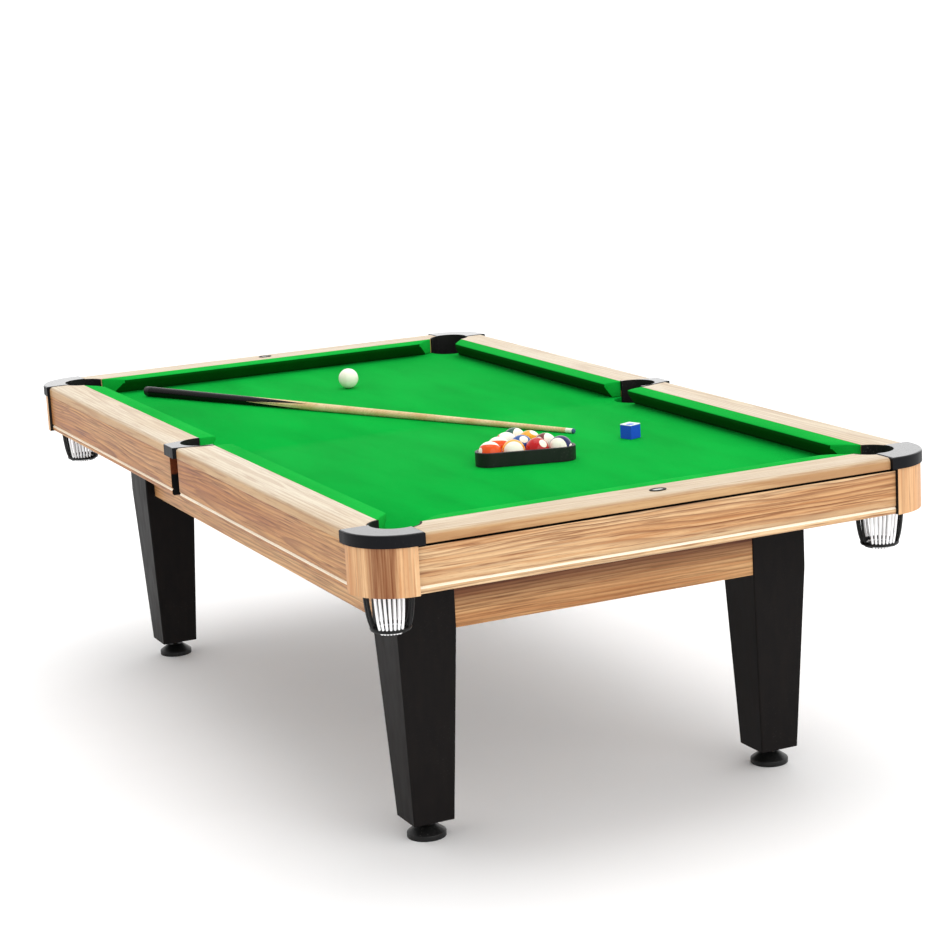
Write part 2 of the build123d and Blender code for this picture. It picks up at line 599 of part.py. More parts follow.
def leg():
    """Square leg: straight beside the beams, tapered below them."""
    head = Pos(0, 0, BEAM_BOTTOM) * RectangleRounded(LEG_TOP_SIZE, LEG_TOP_SIZE, LEG_EDGE_ROUND)
    foot = Pos(0, 0, LEG_BOTTOM) * RectangleRounded(LEG_FOOT_SIZE, LEG_FOOT_SIZE, LEG_EDGE_ROUND)
    post = extrude(head, amount=BEAM_HEIGHT) + loft([foot, head])
    socket = STUD_RADIUS + STUD_CLEARANCE + INSERT_WALL + INSERT_CLEARANCE
    post -= upright((0, 0), socket, (LEG_BOTTOM, LEG_BOTTOM + STUD_ENGAGEMENT + STUD_CLEARANCE))
    post = Pos(LEG_X, LEG_Y, 0) * post
    for plane in leg_bracket_frames():
        post -= bracket_bolt_holes(plane)
    return post


def leveller():
    """Round foot on a threaded stud."""
    profile = outline(
        (0, 0), (PAD_RADIUS, 0), (PAD_RADIUS, PAD_EDGE), (PAD_NECK_RADIUS, PAD_HEIGHT),
        (STUD_RADIUS, PAD_HEIGHT), (STUD_RADIUS, LEG_BOTTOM + STUD_ENGAGEMENT),
        (0, LEG_BOTTOM + STUD_ENGAGEMENT))
    return Pos(LEG_X, LEG_Y, 0) * revolve(Plane.XZ * profile, axis=Axis.Z)


def leveller_inserts():
    bore = STUD_RADIUS + STUD_CLEARANCE
    height = (LEG_BOTTOM, LEG_BOTTOM + STUD_ENGAGEMENT)
    centre = (LEG_X, LEG_Y)
    sleeve = upright(centre, bore + INSERT_WALL, height) - upright(centre, bore, height)
    return [to_quarter(sleeve, sx, sy) for sx, sy in QUARTERS.values()]


def side_beam():
    height = (BEAM_BOTTOM, SLATE_BOTTOM)
    beam = block((SIDE_BEAM_X - BEAM_THICKNESS, SIDE_BEAM_X), (-LEG_INNER_Y, LEG_INNER_Y), height)
    holes = bracket_bolt_holes(leg_bracket_frames()[0])
    return beam - holes - [mirror(hole, about=Plane.XZ) for hole in holes]


def end_beam():
    height = (BEAM_BOTTOM, SLATE_BOTTOM)
    beam = block((-LEG_INNER_X, LEG_INNER_X), (END_BEAM_Y - BEAM_THICKNESS, END_BEAM_Y), height)
    holes = bracket_bolt_holes(leg_bracket_frames()[1])
    return beam - holes - [mirror(hole, about=Plane.YZ) for hole in holes]


def cross_rails():
    """Bearers under the joints between the slabs, from one side beam to the other."""
    reach = SIDE_BEAM_X - BEAM_THICKNESS
    half = CROSS_RAIL_WIDTH / 2
    height = (SLATE_BOTTOM - CROSS_RAIL_HEIGHT, SLATE_BOTTOM)
    joints = between(-BED_Y, BED_Y, SLATE_COUNT)
    return [block((-reach, reach), (y - half, y + half), height) for y in joints]


def rack_frame():
    """Frame of the racked balls: origin on the cloth, +Y towards the apex."""
    return Pos(RACK_X, RACK_Y, REST_LEVEL) * Rot(0, 0, RACK_TURN)


def rack_side():
    """Side of the triangle through the outer balls' centres."""
    return (RACK_ROWS - 1) * (2 * BALL_RADIUS + BALL_GAP)


def object_balls():
    pitch = 2 * BALL_RADIUS + BALL_GAP
    apex = rack_side() / sqrt(3)
    balls = []
    for row in range(RACK_ROWS):
        for index in range(row + 1):
            place = Pos(pitch * (index - row / 2), apex - pitch * row * sqrt(3) / 2, BALL_RADIUS)
            balls.append(rack_frame() * place * Sphere(BALL_RADIUS))
    return balls


def triangle():
    """Frame round the racked balls, with round corners."""
    reach = rack_side() / sqrt(3)
    corners = [(reach * cos(radians(turn)), reach * sin(radians(turn))) for turn in (90, 210, 330)]
    centres = outline(*corners)
    inner = BALL_RADIUS + RACK_CLEARANCE
    wall = offset(centres, inner + RACK_WALL, kind=Kind.ARC) - offset(centres, inner, kind=Kind.ARC)
    return rack_frame() * extrude(wall, amount=RACK_HEIGHT)


def cue_ball():
    return Pos(CUE_BALL_X, CUE_BALL_Y, REST_LEVEL + BALL_RADIUS) * Sphere(BALL_RADIUS)


def cue_piece(start, end):
    """A stretch of the tapered cue, which lies on the cloth along its lower edge."""
    slope = (CUE_BUTT_RADIUS - CUE_TIP_RADIUS) / CUE_LENGTH
    lean = degrees(atan2(slope, 1))
    low, high = CUE_TIP_RADIUS + slope * start, CUE_TIP_RADIUS + slope * end
    cone = Cone(low, high, end - start, align=(Align.CENTER, Align.CENTER, Align.MIN))
    middle_radius = (CUE_TIP_RADIUS + CUE_BUTT_RADIUS) / 2
    rest = Pos(CUE_X, CUE_Y, REST_LEVEL + middle_radius * hypot(1, slope))
    return rest * Rot(0, 0, CUE_TURN) * Rot(0, 90 - lean, 0) * Pos(0, 0, start - CUE_LENGTH / 2) * cone


def chalk():
    cube = Box(CHALK_SIZE, CHALK_SIZE, CHALK_SIZE, align=(Align.CENTER, Align.CENTER, Align.MIN))
    dimple = Pos(0, 0, CHALK_SIZE - CHALK_DIMPLE_DEPTH + CHALK_DIMPLE_RADIUS) * Sphere(CHALK_DIMPLE_RADIUS)
    return Pos(CHALK_X, CHALK_Y, REST_LEVEL) * Rot(0, 0, CHALK_TURN) * (cube - dimple)


def pieces():
    """Every node's name with its solid, or its group of solids."""
    made = {
        "slate_slabs": slate_bed(),
        "bed_cloth": bed_plate((SLATE_TOP, CLOTH_TOP)),
        "bed_liners": bed_liners(),
        "corner_pocket_liners": corner_pocket_liners(),
        "side_pocket_liners": side_pocket_liners(),
        "corner_baskets": corner_baskets(),
        "side_baskets": side_baskets(),
        "cross_rails": cross_rails(),
        "leveller_inserts": leveller_inserts(),
        "leg_brackets": leg_brackets(),
        "bracket_bolts": bracket_bolts(),
        "skirt_brackets": skirt_brackets(),
        "rail_bolts": rail_bolts(),
        "object_balls": object_balls(),
        "triangle": triangle(),
        "cue_ball": cue_ball(),
        "cue_tip": cue_piece(0, CUE_TIP_LENGTH),
        "cue_shaft": cue_piece(CUE_TIP_LENGTH, CUE_LENGTH - CUE_BUTT_LENGTH),
        "cue_butt": cue_piece(CUE_LENGTH - CUE_BUTT_LENGTH, CUE_LENGTH),
        "chalk": chalk(),
    }
    quarter_pieces = {
        "side_rail": side_rail(), "side_cushion": side_cushion(), "side_skirt": side_skirt(),
        "corner_block": corner_block(), "corner_casting": corner_casting(),
        "leg": leg(), "leveller": leveller()}
    for name, shape in quarter_pieces.items():
        for quarter, (sx, sy) in QUARTERS.items():
            made[f"{name}_{quarter}"] = to_quarter(shape, sx, sy)
    end_pieces = {
        "end_rail": end_rail(), "end_cushion": end_cushion(),
        "end_skirt": end_skirt(), "end_beam": end_beam()}
    for name, shape in end_pieces.items():
        for end, sy in ENDS.items():
            made[f"{name}_{end}"] = to_quarter(shape, 1, sy)
    for name, shape in {"side_casting": side_casting(), "side_beam": side_beam()}.items():
        for side, sx in SIDES.items():
            made[f"{name}_{side}"] = to_quarter(shape, sx, 1)
    return made


def solids_of(shape):
    """All solids of a piece, which may be a list, a compound or one solid."""
    group = shape if isinstance(shape, list) else [shape]
    return [solid for member in group for solid in member.solids()]


os.makedirs("parts", exist_ok=True)
for node, shape in pieces().items():
    solids = solids_of(shape)
    export_step(solids[0] if len(solids) == 1 else Compound(children=solids), f"parts/{node}.step")
    print(node, len(solids), "solids")
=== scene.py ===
# %% [markdown]
# # A pool table, dressed piece by piece
# The solids of the table come from CAD as a fixed frame: they are never moved. This lesson puts the looks
# on them. Wood, plastic and metal pieces are copies of the solids with their edges worked, cloth and
# cushions are built anew, and what repeats, such as the ribs of the ball baskets, is grown with Geometry
# Nodes. Everything is in metres, with the floor at z = 0.

from math import atan2, cos, pi, radians, sin, sqrt, tan, tau

import bmesh
import bpy
from mathutils import Matrix, Vector


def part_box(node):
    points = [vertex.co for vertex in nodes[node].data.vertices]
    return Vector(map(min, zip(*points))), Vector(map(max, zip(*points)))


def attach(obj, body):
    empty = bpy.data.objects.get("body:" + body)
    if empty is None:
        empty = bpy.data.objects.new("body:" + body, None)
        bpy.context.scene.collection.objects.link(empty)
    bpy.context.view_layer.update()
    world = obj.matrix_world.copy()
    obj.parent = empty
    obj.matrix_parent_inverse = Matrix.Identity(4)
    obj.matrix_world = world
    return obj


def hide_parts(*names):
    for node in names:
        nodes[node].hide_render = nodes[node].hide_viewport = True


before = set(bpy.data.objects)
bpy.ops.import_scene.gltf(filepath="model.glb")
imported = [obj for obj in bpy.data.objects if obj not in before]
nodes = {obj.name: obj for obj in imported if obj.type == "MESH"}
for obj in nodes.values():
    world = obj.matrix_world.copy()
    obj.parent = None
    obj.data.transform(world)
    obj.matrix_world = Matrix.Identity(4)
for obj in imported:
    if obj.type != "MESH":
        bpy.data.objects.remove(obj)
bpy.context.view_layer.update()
QUARTERS = {"front_left": (-1, -1), "front_right": (1, -1), "back_left": (-1, 1), "back_right": (1, 1)}
ENDS = {"front": -1, "back": 1}
SIDES = {"left": -1, "right": 1}

# %% [markdown]
# ## Small tools for meshes
# Every finished piece ends as one plain mesh at the origin that rides on a CAD body. A copy of a solid
# arrives as loose triangles, so it is merged first and its flat faces are joined. A Bevel modifier then takes
# the crispness off its edges, and Weighted Normal keeps the large faces flat under smooth shading.


# %% Tools that make and settle pieces
def new_piece(name, mesh, *finishes):
    mesh.name = name
    for finish in finishes:
        mesh.materials.append(finish)
    piece = bpy.data.objects.new(name, mesh)
    bpy.context.scene.collection.objects.link(piece)
    return piece


def plain_mesh(piece):
    """Turns a piece with modifiers into a plain mesh."""
    bpy.context.view_layer.update()
    graph = bpy.context.evaluated_depsgraph_get()
    made = bpy.data.meshes.new_from_object(piece.evaluated_get(graph))
    piece.modifiers.clear()
    piece.data = made
    return piece


def merged(node):
    """A CAD node's triangles as one closed, editable mesh."""
    bm = bmesh.new()
    bm.from_mesh(nodes[node].data)
    bmesh.ops.remove_doubles(bm, verts=bm.verts[:], dist=1e-5)
    return bm


def solid_boxes(node):
    """Lowest and highest corner of each separate solid in a node."""
    bm = merged(node)
    left, boxes = set(bm.verts), []
    while left:
        reached, edge = set(), [next(iter(left))]
        while edge:
            vert = edge.pop()
            if vert not in reached:
                reached.add(vert)
                edge += [link.other_vert(vert) for link in vert.link_edges]
        left -= reached
        points = [vert.co.copy() for vert in reached]
        boxes.append([Vector(map(pick, zip(*points))) for pick in (min, max)])
    bm.free()
    return sorted(boxes, key=lambda box: tuple(round(v, 3) for v in box[0]))


def smooth_mesh(bm, name, crease=None):
    """A bmesh as a smoothly shaded mesh, sharp where faces meet at more than the crease's degrees."""
    mesh = bpy.data.meshes.new(name)
    bm.to_mesh(mesh)
    bm.free()
    mesh.shade_smooth()
    if crease:
        mesh.set_sharp_from_angle(angle=radians(crease))
    return mesh


def skin(bm, rings, paint=None):
    """Joins rings of points with bands of faces and closes both ends. Paint has each band's material."""
    size = len(rings[0])
    paint = paint or [0] * (len(rings) - 1)
    for one, other, finish in zip(rings, rings[1:], paint):
        for i in range(size):
            j = (i + 1) % size
            bm.faces.new((one[i], one[j], other[j], other[i])).material_index = finish
    for ring, finish in ((rings[0], paint[0]), (rings[-1], paint[-1])):
        bm.faces.new(ring).material_index = finish
    bmesh.ops.remove_doubles(bm, verts=bm.verts[:], dist=1e-6)
    bmesh.ops.recalc_face_normals(bm, faces=bm.faces[:])


FLAT_WITHIN, CRISP_FROM = 0.4, 32.0    # degrees between faces that are joined, and that are rounded


def worked_copy(node, name, *finishes, edge=0.0008, segments=2):
    """Copies a solid and rounds its crisp edges."""
    bm = merged(node)
    bmesh.ops.dissolve_limit(bm, angle_limit=radians(FLAT_WITHIN), verts=bm.verts[:], edges=bm.edges[:])
    piece = new_piece(name, smooth_mesh(bm, name), *finishes)
    bevel = piece.modifiers.new("worked edges", "BEVEL")
    bevel.width, bevel.segments = edge, segments
    bevel.limit_method, bevel.angle_limit = "ANGLE", radians(CRISP_FROM)
    piece.modifiers.new("flat faces", "WEIGHTED_NORMAL").keep_sharp = True
    return plain_mesh(piece)


def settle(piece, body, slot, *stands_for):
    """Hangs a finished piece on its CAD body and hides the solids that it stands for."""
    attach(piece, body)
    if stands_for:
        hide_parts(*stands_for)
    print(piece.name, len(piece.data.polygons), "faces on", body)
    return piece


def middle_of(box):
    return (box[0] + box[1]) / 2


# %% [markdown]
# ## Small tools for shader nodes
# A node tree reads best as one line per node, so `add` makes a node, sets it up and joins it in one call, and
# `beside` does so in the tree that its inputs come from. Colours are written as the usual 0 to 255 numbers
# and turned into the linear light that shaders use.


# %% Tools that build node trees
def put(socket, value):
    if isinstance(value, bpy.types.NodeSocket):
        socket.id_data.links.new(value, socket)
    else:
        socket.default_value = value


def add(tree, kind, inputs=None, **settings):
    node = tree.nodes.new(kind)
    for key, value in settings.items():
        setattr(node, key, value)
    for key, value in (inputs or {}).items():
        put(node.inputs[key], value)
    return node


def beside(kind, inputs, **settings):
    tree = next(value.id_data for value in inputs.values() if isinstance(value, bpy.types.NodeSocket))
    return add(tree, kind, inputs, **settings).outputs


def maths(operation, *values):
    return beside("ShaderNodeMath", dict(enumerate(values)), operation=operation)[0]


def times(first, second):
    return maths("MULTIPLY", first, second)


def blend(factor, first, second, how="MIX"):
    return beside("ShaderNodeMix", {0: factor, 6: first, 7: second}, data_type="RGBA", blend_type=how)[2]


def level(value, low, high, to_low=0.0, to_high=1.0):
    return beside("ShaderNodeMapRange", {"Value": value, 1: low, 2: high, 3: to_low, 4: to_high})[0]


def stretched(vector, *sizes):
    return beside("ShaderNodeVectorMath", {0: vector, 1: sizes}, operation="MULTIPLY")[0]


def noise(vector, scale=1.0, detail=2.0, seed=0.0):
    inputs = {"Vector": vector, "Scale": scale, "Detail": detail, "W": seed}
    return beside("ShaderNodeTexNoise", inputs, noise_dimensions="4D")[0]


def streaks(grain, along, across, detail, seed):
    """Noise drawn out along the grain. The two sizes are changes per metre."""
    return noise(stretched(grain, along, across, across), 1, detail, seed)


def split(vector):
    return beside("ShaderNodeSeparateXYZ", {0: vector})


def bump(height, distance, strength=1.0):
    return beside("ShaderNodeBump", {"Height": height, "Distance": distance, "Strength": strength})[0]


def stored(tree, name, kind="Fac"):
    """What the mesh stores at each of its points under a name."""
    return add(tree, "ShaderNodeAttribute", attribute_name=name).outputs[kind]


def object_place(tree):
    return add(tree, "ShaderNodeTexCoord").outputs["Object"]


def tint(red, green, blue):
    """An everyday 0 to 255 colour as linear light."""
    share = [value / 255 for value in (red, green, blue)]
    return [v / 12.92 if v <= 0.04045 else ((v + 0.055) / 1.055) ** 2.4 for v in share] + [1.0]


def effect(name, inputs, outputs):
    """A shader node group with named sockets. Returns the group and its two ends."""
    tree = bpy.data.node_groups.new(name, "ShaderNodeTree")
    for label, (kind, value) in inputs.items():
        socket = tree.interface.new_socket(label, in_out="INPUT", socket_type=f"NodeSocket{kind}")
        socket.default_value = value
    for label, kind in outputs.items():
        tree.interface.new_socket(label, in_out="OUTPUT", socket_type=f"NodeSocket{kind}")
    return tree, add(tree, "NodeGroupInput").outputs, add(tree, "NodeGroupOutput").inputs


def new_finish(name, shine=0.5, **fixed):
    """A material with one Principled BSDF. Shine and the fixed values are set on the shader's own sockets."""
    finish = bpy.data.materials.new(name)
    finish.use_nodes = True
    tree = finish.node_tree
    tree.nodes.clear()
    fixed["Specular IOR Level"] = shine
    shader = add(tree, "ShaderNodeBsdfPrincipled", {key.replace("_", " "): v for key, v in fixed.items()})
    add(tree, "ShaderNodeOutputMaterial", {"Surface": shader.outputs[0]})
    return finish, tree, shader.inputs


# %% [markdown]
# ## The wood figure
# The rails and aprons show a bold oak figure: long dark streaks that close into arches. In a tree these are
# growth rings cut almost along the trunk. A Wave texture would give even stripes, so the group below measures
# each point's distance from a slightly tilted trunk axis and folds that into rings, which makes the arches by
# itself. Each board stores a "grain" (along the grain, across the face, into the wood) and its own number.

# %% The wood figure as a node group
TRUNK_DEPTH, TRUNK_LEAN = 0.03, 0.035    # how far behind the face the trunk's axis lies, and how it tilts
HEART_SWING, AXIS_WANDER = 0.03, 0.05    # how far the axis may lie to one side, and how far it wanders
RING_WANDER = 2.2                        # rings by which the same wandering shifts their count
HEART_DARK, HEART_END = 0.022, 0.038     # half widths of a band of heartwood: full, and faded out

wood_figure, given, out = effect(
    "wood_figure",
    {"Grain": ("Vector", (0, 0, 0)), "Board": ("Float", 0.0), "Ring Width": ("Float", 0.012),
     "Light": ("Color", (0.8, 0.6, 0.4, 1)), "Middle": ("Color", (0.6, 0.4, 0.2, 1)),
     "Dark": ("Color", (0.3, 0.15, 0.06, 1)), "Depth of Colour": ("Float", 0.7),
     "Fibre Contrast": ("Float", 0.3), "Heartwood": ("Float", 0.0)},
    {"Color": "Color", "Fibre": "Float", "Height": "Float"})
grain, board = given["Grain"], given["Board"]
along, face, into = split(grain)
slow = maths("SUBTRACT", streaks(grain, 1.6, 9, 2, times(board, 3.7)), 0.5)
heart = times(maths("SINE", times(board, 12.9)), HEART_SWING)
lean = times(maths("SINE", maths("MULTIPLY_ADD", board, 2.3, 1.0)), TRUNK_LEAN)
sideways = maths("SUBTRACT", maths("MULTIPLY_ADD", slow, AXIS_WANDER, face), heart)
deep = maths("MULTIPLY_ADD", along, lean, maths("MULTIPLY_ADD", into, 0.6, TRUNK_DEPTH))
radius = maths("SQRT", maths("ADD", times(sideways, sideways), times(deep, deep)))
counted = maths("DIVIDE", radius, given["Ring Width"])
ring = maths("FRACT", maths("MULTIPLY_ADD", slow, RING_WANDER, counted))
fibre = streaks(grain, 5, 240, 3, board)
broad = level(streaks(grain, 1.1, 16, 2, times(board, 1.3)), 0.36, 0.64)
pore = level(streaks(grain, 45, 1500, 1, board), 0.6, 0.72)
late = times(level(ring, 0.35, 0.86), level(ring, 1.0, 0.9))
worn = level(streaks(grain, 3, 30, 2, maths("ADD", board, 9.0)), 0.34, 0.62, 0.4, 1.0)
rings = times(times(late, worn), level(fibre, 0.3, 0.66, 0.3, 1.0))
dash = level(streaks(grain, 6, 190, 3, maths("ADD", board, 5.0)), 0.52, 0.66, 0.0, 0.75)
streak = times(maths("MAXIMUM", rings, dash), given["Depth of Colour"])
colour = blend(streak, blend(broad, given["Light"], given["Middle"]), given["Dark"])
from_middle = maths("ABSOLUTE", maths("MULTIPLY_ADD", slow, 0.03, face))
heartwood = times(level(fibre, 0.3, 0.6, 1.0, 0.6), given["Heartwood"])
heartwood = times(level(from_middle, HEART_END, HEART_DARK), heartwood)
colour = blend(heartwood, colour, given["Dark"])
shade = times(level(fibre, 0.60, 0.34), given["Fibre Contrast"])
colour = blend(shade, colour, given["Middle"], "MULTIPLY")
put(out["Color"], blend(times(pore, 0.35), colour, given["Dark"]))
put(out["Fibre"], fibre)
put(out["Height"], maths("SUBTRACT", times(fibre, 0.4), maths("ADD", pore, late)))
print("wood figure:", len(wood_figure.nodes), "nodes")

# %% [markdown]
# ## Two effects that several finishes share
# Cloth needs a weave, and moulded, lacquered and metal pieces need the faint dust and fine rubbing
# that any handled thing has. Each is a group, placed in a material with its own values. The groups put
# out only masks and heights: the shader itself stays in the material.

# %% Weave and handling as node groups
weave, given, out = effect(
    "weave", {"Place": ("Vector", (0, 0, 0)), "Threads per Metre": ("Float", 900.0)},
    {"Height": "Float", "Nap": "Float", "Brushed": "Float"})
turn = times(given["Threads per Metre"], tau)
x, y, z = split(given["Place"])
warp = maths("SINE", times(maths("ADD", x, z), turn))
weft = maths("SINE", times(maths("ADD", y, z), turn))
nap = noise(given["Place"], 420, 4)
put(out["Height"], maths("MULTIPLY_ADD", times(warp, weft), 0.3, nap))
put(out["Nap"], nap)
put(out["Brushed"], noise(stretched(given["Place"], 9, 2.2, 9), 1, 3, 2.0))

handling, given, out = effect(
    "handling", {"Place": ("Vector", (0, 0, 0)), "Grain Size": ("Float", 700.0)},
    {"Dust": "Float", "Rubbed": "Float", "Height": "Float"})
specks = level(noise(given["Place"], 260, 4, 5.0), 0.6, 0.75)
put(out["Dust"], times(specks, level(noise(given["Place"], 9, 2), 0.4, 0.65)))
put(out["Rubbed"], level(noise(stretched(given["Place"], 60, 60, 14), 1, 4, 1.0), 0.35, 0.7))
put(out["Height"], noise(given["Place"], given["Grain Size"], 3))
print("groups:", wood_figure.name, weave.name, handling.name)

# %% [markdown]
# ## Oak finishes
# One oak, many boards: the rails are the palest and calmest, the aprons and beams carry the bold figure, and
# the corner blocks have broad upright bands. The rails' pale tone is partly painted light of their brightly
# lit tops, and their sides are tinted darker than their tops as painted shade. The side aprons take a darker
# copy of the end aprons' oak, as painted shade for faces turned away from the front light. The clear lacquer
# is a light coat on the Principled shader, because lacquer is a second smooth surface above the duller wood.
# The beams stand back under the aprons, and their colour darkens towards the top as painted shade, where soft
# studio light leaves too little shade.


# %% Oak finishes
SHADE_FROM, SHADE_FULL = 0.525, 0.576    # heights between which painted shade darkens the beams towards the top
UPRIGHT, LYING = 0.2, 0.95               # upward share of a normal on a rail's side and on its top


def figured(grain, board, ring_width, light, middle, dark, depth, **more):
    """The figure of one wood: its three tones, the width of its rings and how strongly they show."""
    inputs = {"Grain": grain, "Board": board, "Ring Width": ring_width, "Depth of Colour": depth,
              "Light": tint(*light), "Middle": tint(*middle), "Dark": tint(*dark)}
    inputs.update((key.replace("_", " "), value) for key, value in more.items())
    return beside("ShaderNodeGroup", inputs, node_tree=wood_figure)


def oak(name, light, middle, dark, ring_width, depth, fibre=0.5, heart=0.0, coat=0.04, rough=0.45,
        upright=None, shaded=None):
    finish, tree, shader = new_finish(name, Coat_Weight=coat, Coat_Roughness=0.22, shine=0.2)
    figure = figured(
        stored(tree, "grain", "Vector"), stored(tree, "board"), ring_width, light, middle, dark, depth,
        Fibre_Contrast=fibre, Heartwood=heart)
    colour = figure["Color"]
    # Painted shade: a rail's sides are tinted darker than its top, which takes the strong light from above.
    if upright:
        share = level(stored(tree, "lying"), LYING, UPRIGHT)
        colour = blend(share, colour, tint(*upright), "MULTIPLY")
    if shaded:
        share = level(split(object_place(tree))["Z"], SHADE_FROM, SHADE_FULL)
        colour = blend(share, colour, tint(*shaded), "MULTIPLY")
    put(shader["Base Color"], colour)
    put(shader["Roughness"], level(figure["Fibre"], 0.2, 0.8, rough - 0.08, rough + 0.1))
    put(shader["Normal"], bump(figure["Height"], 0.00015, 0.6))
    return finish


# The rails' pale tone is partly painted light of their brightly lit tops.
rail_oak = oak(
    "rail_oak", (220, 210, 189), (208, 190, 162), (156, 111, 73), 0.010, 0.65, 0.4, coat=0.05,
    upright=(236, 206, 172))
end_oak = oak("end_oak", (228, 199, 157), (208, 162, 114), (116, 63, 31), 0.009, 1.0, 0.6)
# The side aprons take a darker copy of the end aprons' oak: painted shade for faces turned away from the
# front light.
side_apron_shade_oak = oak("side_apron_shade_oak", (207, 160, 105), (187, 128, 72), (104, 50, 22), 0.009, 1.0, 0.6)
# The beams darken towards the top as painted shade under the aprons.
beam_oak = oak(
    "beam_oak", (229, 184, 130), (202, 148, 96), (120, 71, 37), 0.009, 0.9, shaded=(148, 121, 117))
BLOCK_TONES = (230, 194, 150), (214, 162, 112), (116, 60, 26)
block_oak = oak("block_oak", *BLOCK_TONES, 0.024, 0.5)
heart_oak = oak("heart_oak", *BLOCK_TONES, 0.024, 0.4, heart=1.0)
# A very pale oak for the upward lips of the apron groove: a painted highlight.
groove_highlight_oak = oak("groove_highlight_oak", (252, 242, 222), (244, 228, 202), (206, 172, 130), 0.02, 0.3, 0.2)
print("oak finishes:", rail_oak.name, "to", groove_highlight_oak.name)

# %% [markdown]
# ## Cloth finishes
# Billiard cloth is a tight wool twill with a short nap, so it has almost no gloss, and its colour changes
# a little with the way the nap was last brushed. The nap is noise of a few millimetres, the threads are a
# fine product of two sine waves, and both go into one bump.


# %% Cloth finishes
def green_cloth(name, fresh, brushed):
    finish, tree, shader = new_finish(
        name, Roughness=0.95, shine=0.03, Sheen_Weight=0.015, Sheen_Roughness=0.6)
    shader["Sheen Tint"].default_value = tint(90, 220, 130)
    wool = beside("ShaderNodeGroup", {"Place": object_place(tree)}, node_tree=weave)
    colour = blend(level(wool["Brushed"], 0.35, 0.68), tint(*fresh), tint(*brushed))
    colour = blend(level(wool["Nap"], 0.35, 0.68, 0.0, 0.25), colour, tint(*brushed), "MULTIPLY")
    put(shader["Base Color"], colour)
    put(shader["Normal"], bump(wool["Height"], 0.0006, 0.5))
    return finish


bed_green = green_cloth("bed_green", (4, 176, 62), (2, 160, 54))
# The cushions take a lighter, yellower copy of the bed's green: painted light for their lit tops.
lit_cushion_green = green_cloth("lit_cushion_green", (22, 182, 66), (12, 166, 58))
# A much darker copy of the green for the faces under the cushion nose: painted shade.
nose_shade_green = green_cloth("nose_shade_green", (1, 78, 14), (1, 68, 10))
print("cloth finishes:", bed_green.name, lit_cushion_green.name, nose_shade_green.name)

# %% [markdown]
# ## Moulded, lacquered and metal finishes
# The castings, liners, legs and feet are all dark, and differ only in gloss and in the fine texture of their
# moulds. One function makes them, with the handling group for dust and rubbing. White ribs, which are a
# painted highlight, slate and metals use the same function, metals with Metallic set.


# %% Plain finishes with dust and rubbing
DUST = tint(170, 165, 158)


def plain_finish(name, colour, worn, rough, spread=0.12, texture=700.0, relief=0.00006, dust=0.25, **fixed):
    finish, tree, shader = new_finish(name, **fixed)
    inputs = {"Place": object_place(tree), "Grain Size": texture}
    marks = beside("ShaderNodeGroup", inputs, node_tree=handling)
    base = blend(marks["Rubbed"], tint(*colour), tint(*worn))
    dusty = times(marks["Dust"], dust)
    put(shader["Base Color"], blend(dusty, base, DUST))
    put(shader["Roughness"], level(marks["Rubbed"], 0.0, 1.0, rough, rough + spread))
    put(shader["Normal"], bump(marks["Height"], relief))
    return finish


casting_black = plain_finish(
    "casting_black", (12, 13, 17), (17, 18, 22), 0.16, 0.06, texture=900, relief=0.000001, dust=0.05,
    shine=0.15, Coat_Weight=0.7, Coat_IOR=1.4, Coat_Roughness=0.12)
casting_wall = plain_finish("casting_wall", (10, 11, 15), (14, 15, 19), 0.4, dust=0.05, shine=0.12)
# Black of the pocket liners, also used as painted shade in shadow gaps and joints.
liner_and_gap_shade_black = plain_finish("liner_and_gap_shade_black", (14, 14, 15), (20, 19, 18), 0.55, shine=0.2)
liner_brown = plain_finish("liner_brown", (92, 42, 20), (72, 32, 16), 0.5, texture=300, shine=0.3)
basket_black = plain_finish("basket_black", (9, 9, 10), (14, 14, 15), 0.35, dust=0.05, shine=0.25)
leg_black = plain_finish("leg_black", (23, 21, 21), (27, 24, 23), 0.36, texture=240, dust=0.05, shine=0.05)
foot_black = plain_finish("foot_black", (12, 12, 12), (20, 20, 20), 0.4, shine=0.3)
rack_black = plain_finish("rack_black", (14, 14, 15), (20, 20, 21), 0.38, shine=0.35)
# White for the front and back ribs of the corner baskets: a painted highlight of glossy black ribs.
rib_highlight_white = plain_finish("rib_highlight_white", (253, 253, 253), (248, 248, 250), 0.3, dust=0.05, shine=0.5)
zinc_plate = plain_finish("zinc_plate", (196, 198, 200), (168, 170, 176), 0.38, texture=160, Metallic=1.0)
brass_turned = plain_finish("brass_turned", (206, 164, 92), (180, 138, 70), 0.3, Metallic=1.0)
slate_grey = plain_finish(
    "slate_grey", (84, 88, 92), (66, 70, 76), 0.7, texture=120, relief=0.0003, dust=0.5)
print("plain finishes:", casting_black.name, "to", slate_grey.name)

# %% [markdown]
# ## Rails and aprons
# The six rails, the six apron boards and the four beams are straight boards, so their shape is right as it
# is. What a learner should watch is the grain: it must run along each board. The point's own place is stored
# on the mesh as an attribute, once, and the shader only reads it.


# %% A dark finish for the slots at the side pockets
def slot_finish(name, upper, lower, change):
    """Two dark tones with a ragged line between them at one height."""
    finish, tree, shader = new_finish(name, Roughness=0.6, shine=0.15)
    place = object_place(tree)
    ragged = noise(place, 160, 3)
    height = split(place)["Z"]
    share = level(maths("MULTIPLY_ADD", ragged, 0.01, height), change, change + 0.004)
    tone = blend(share, tint(*lower), tint(*upper))
    put(shader["Base Color"], blend(level(ragged, 0.4, 0.7, 0.0, 0.4), tone, tint(*lower)))
    put(shader["Normal"], bump(ragged, 0.0002))
    return finish


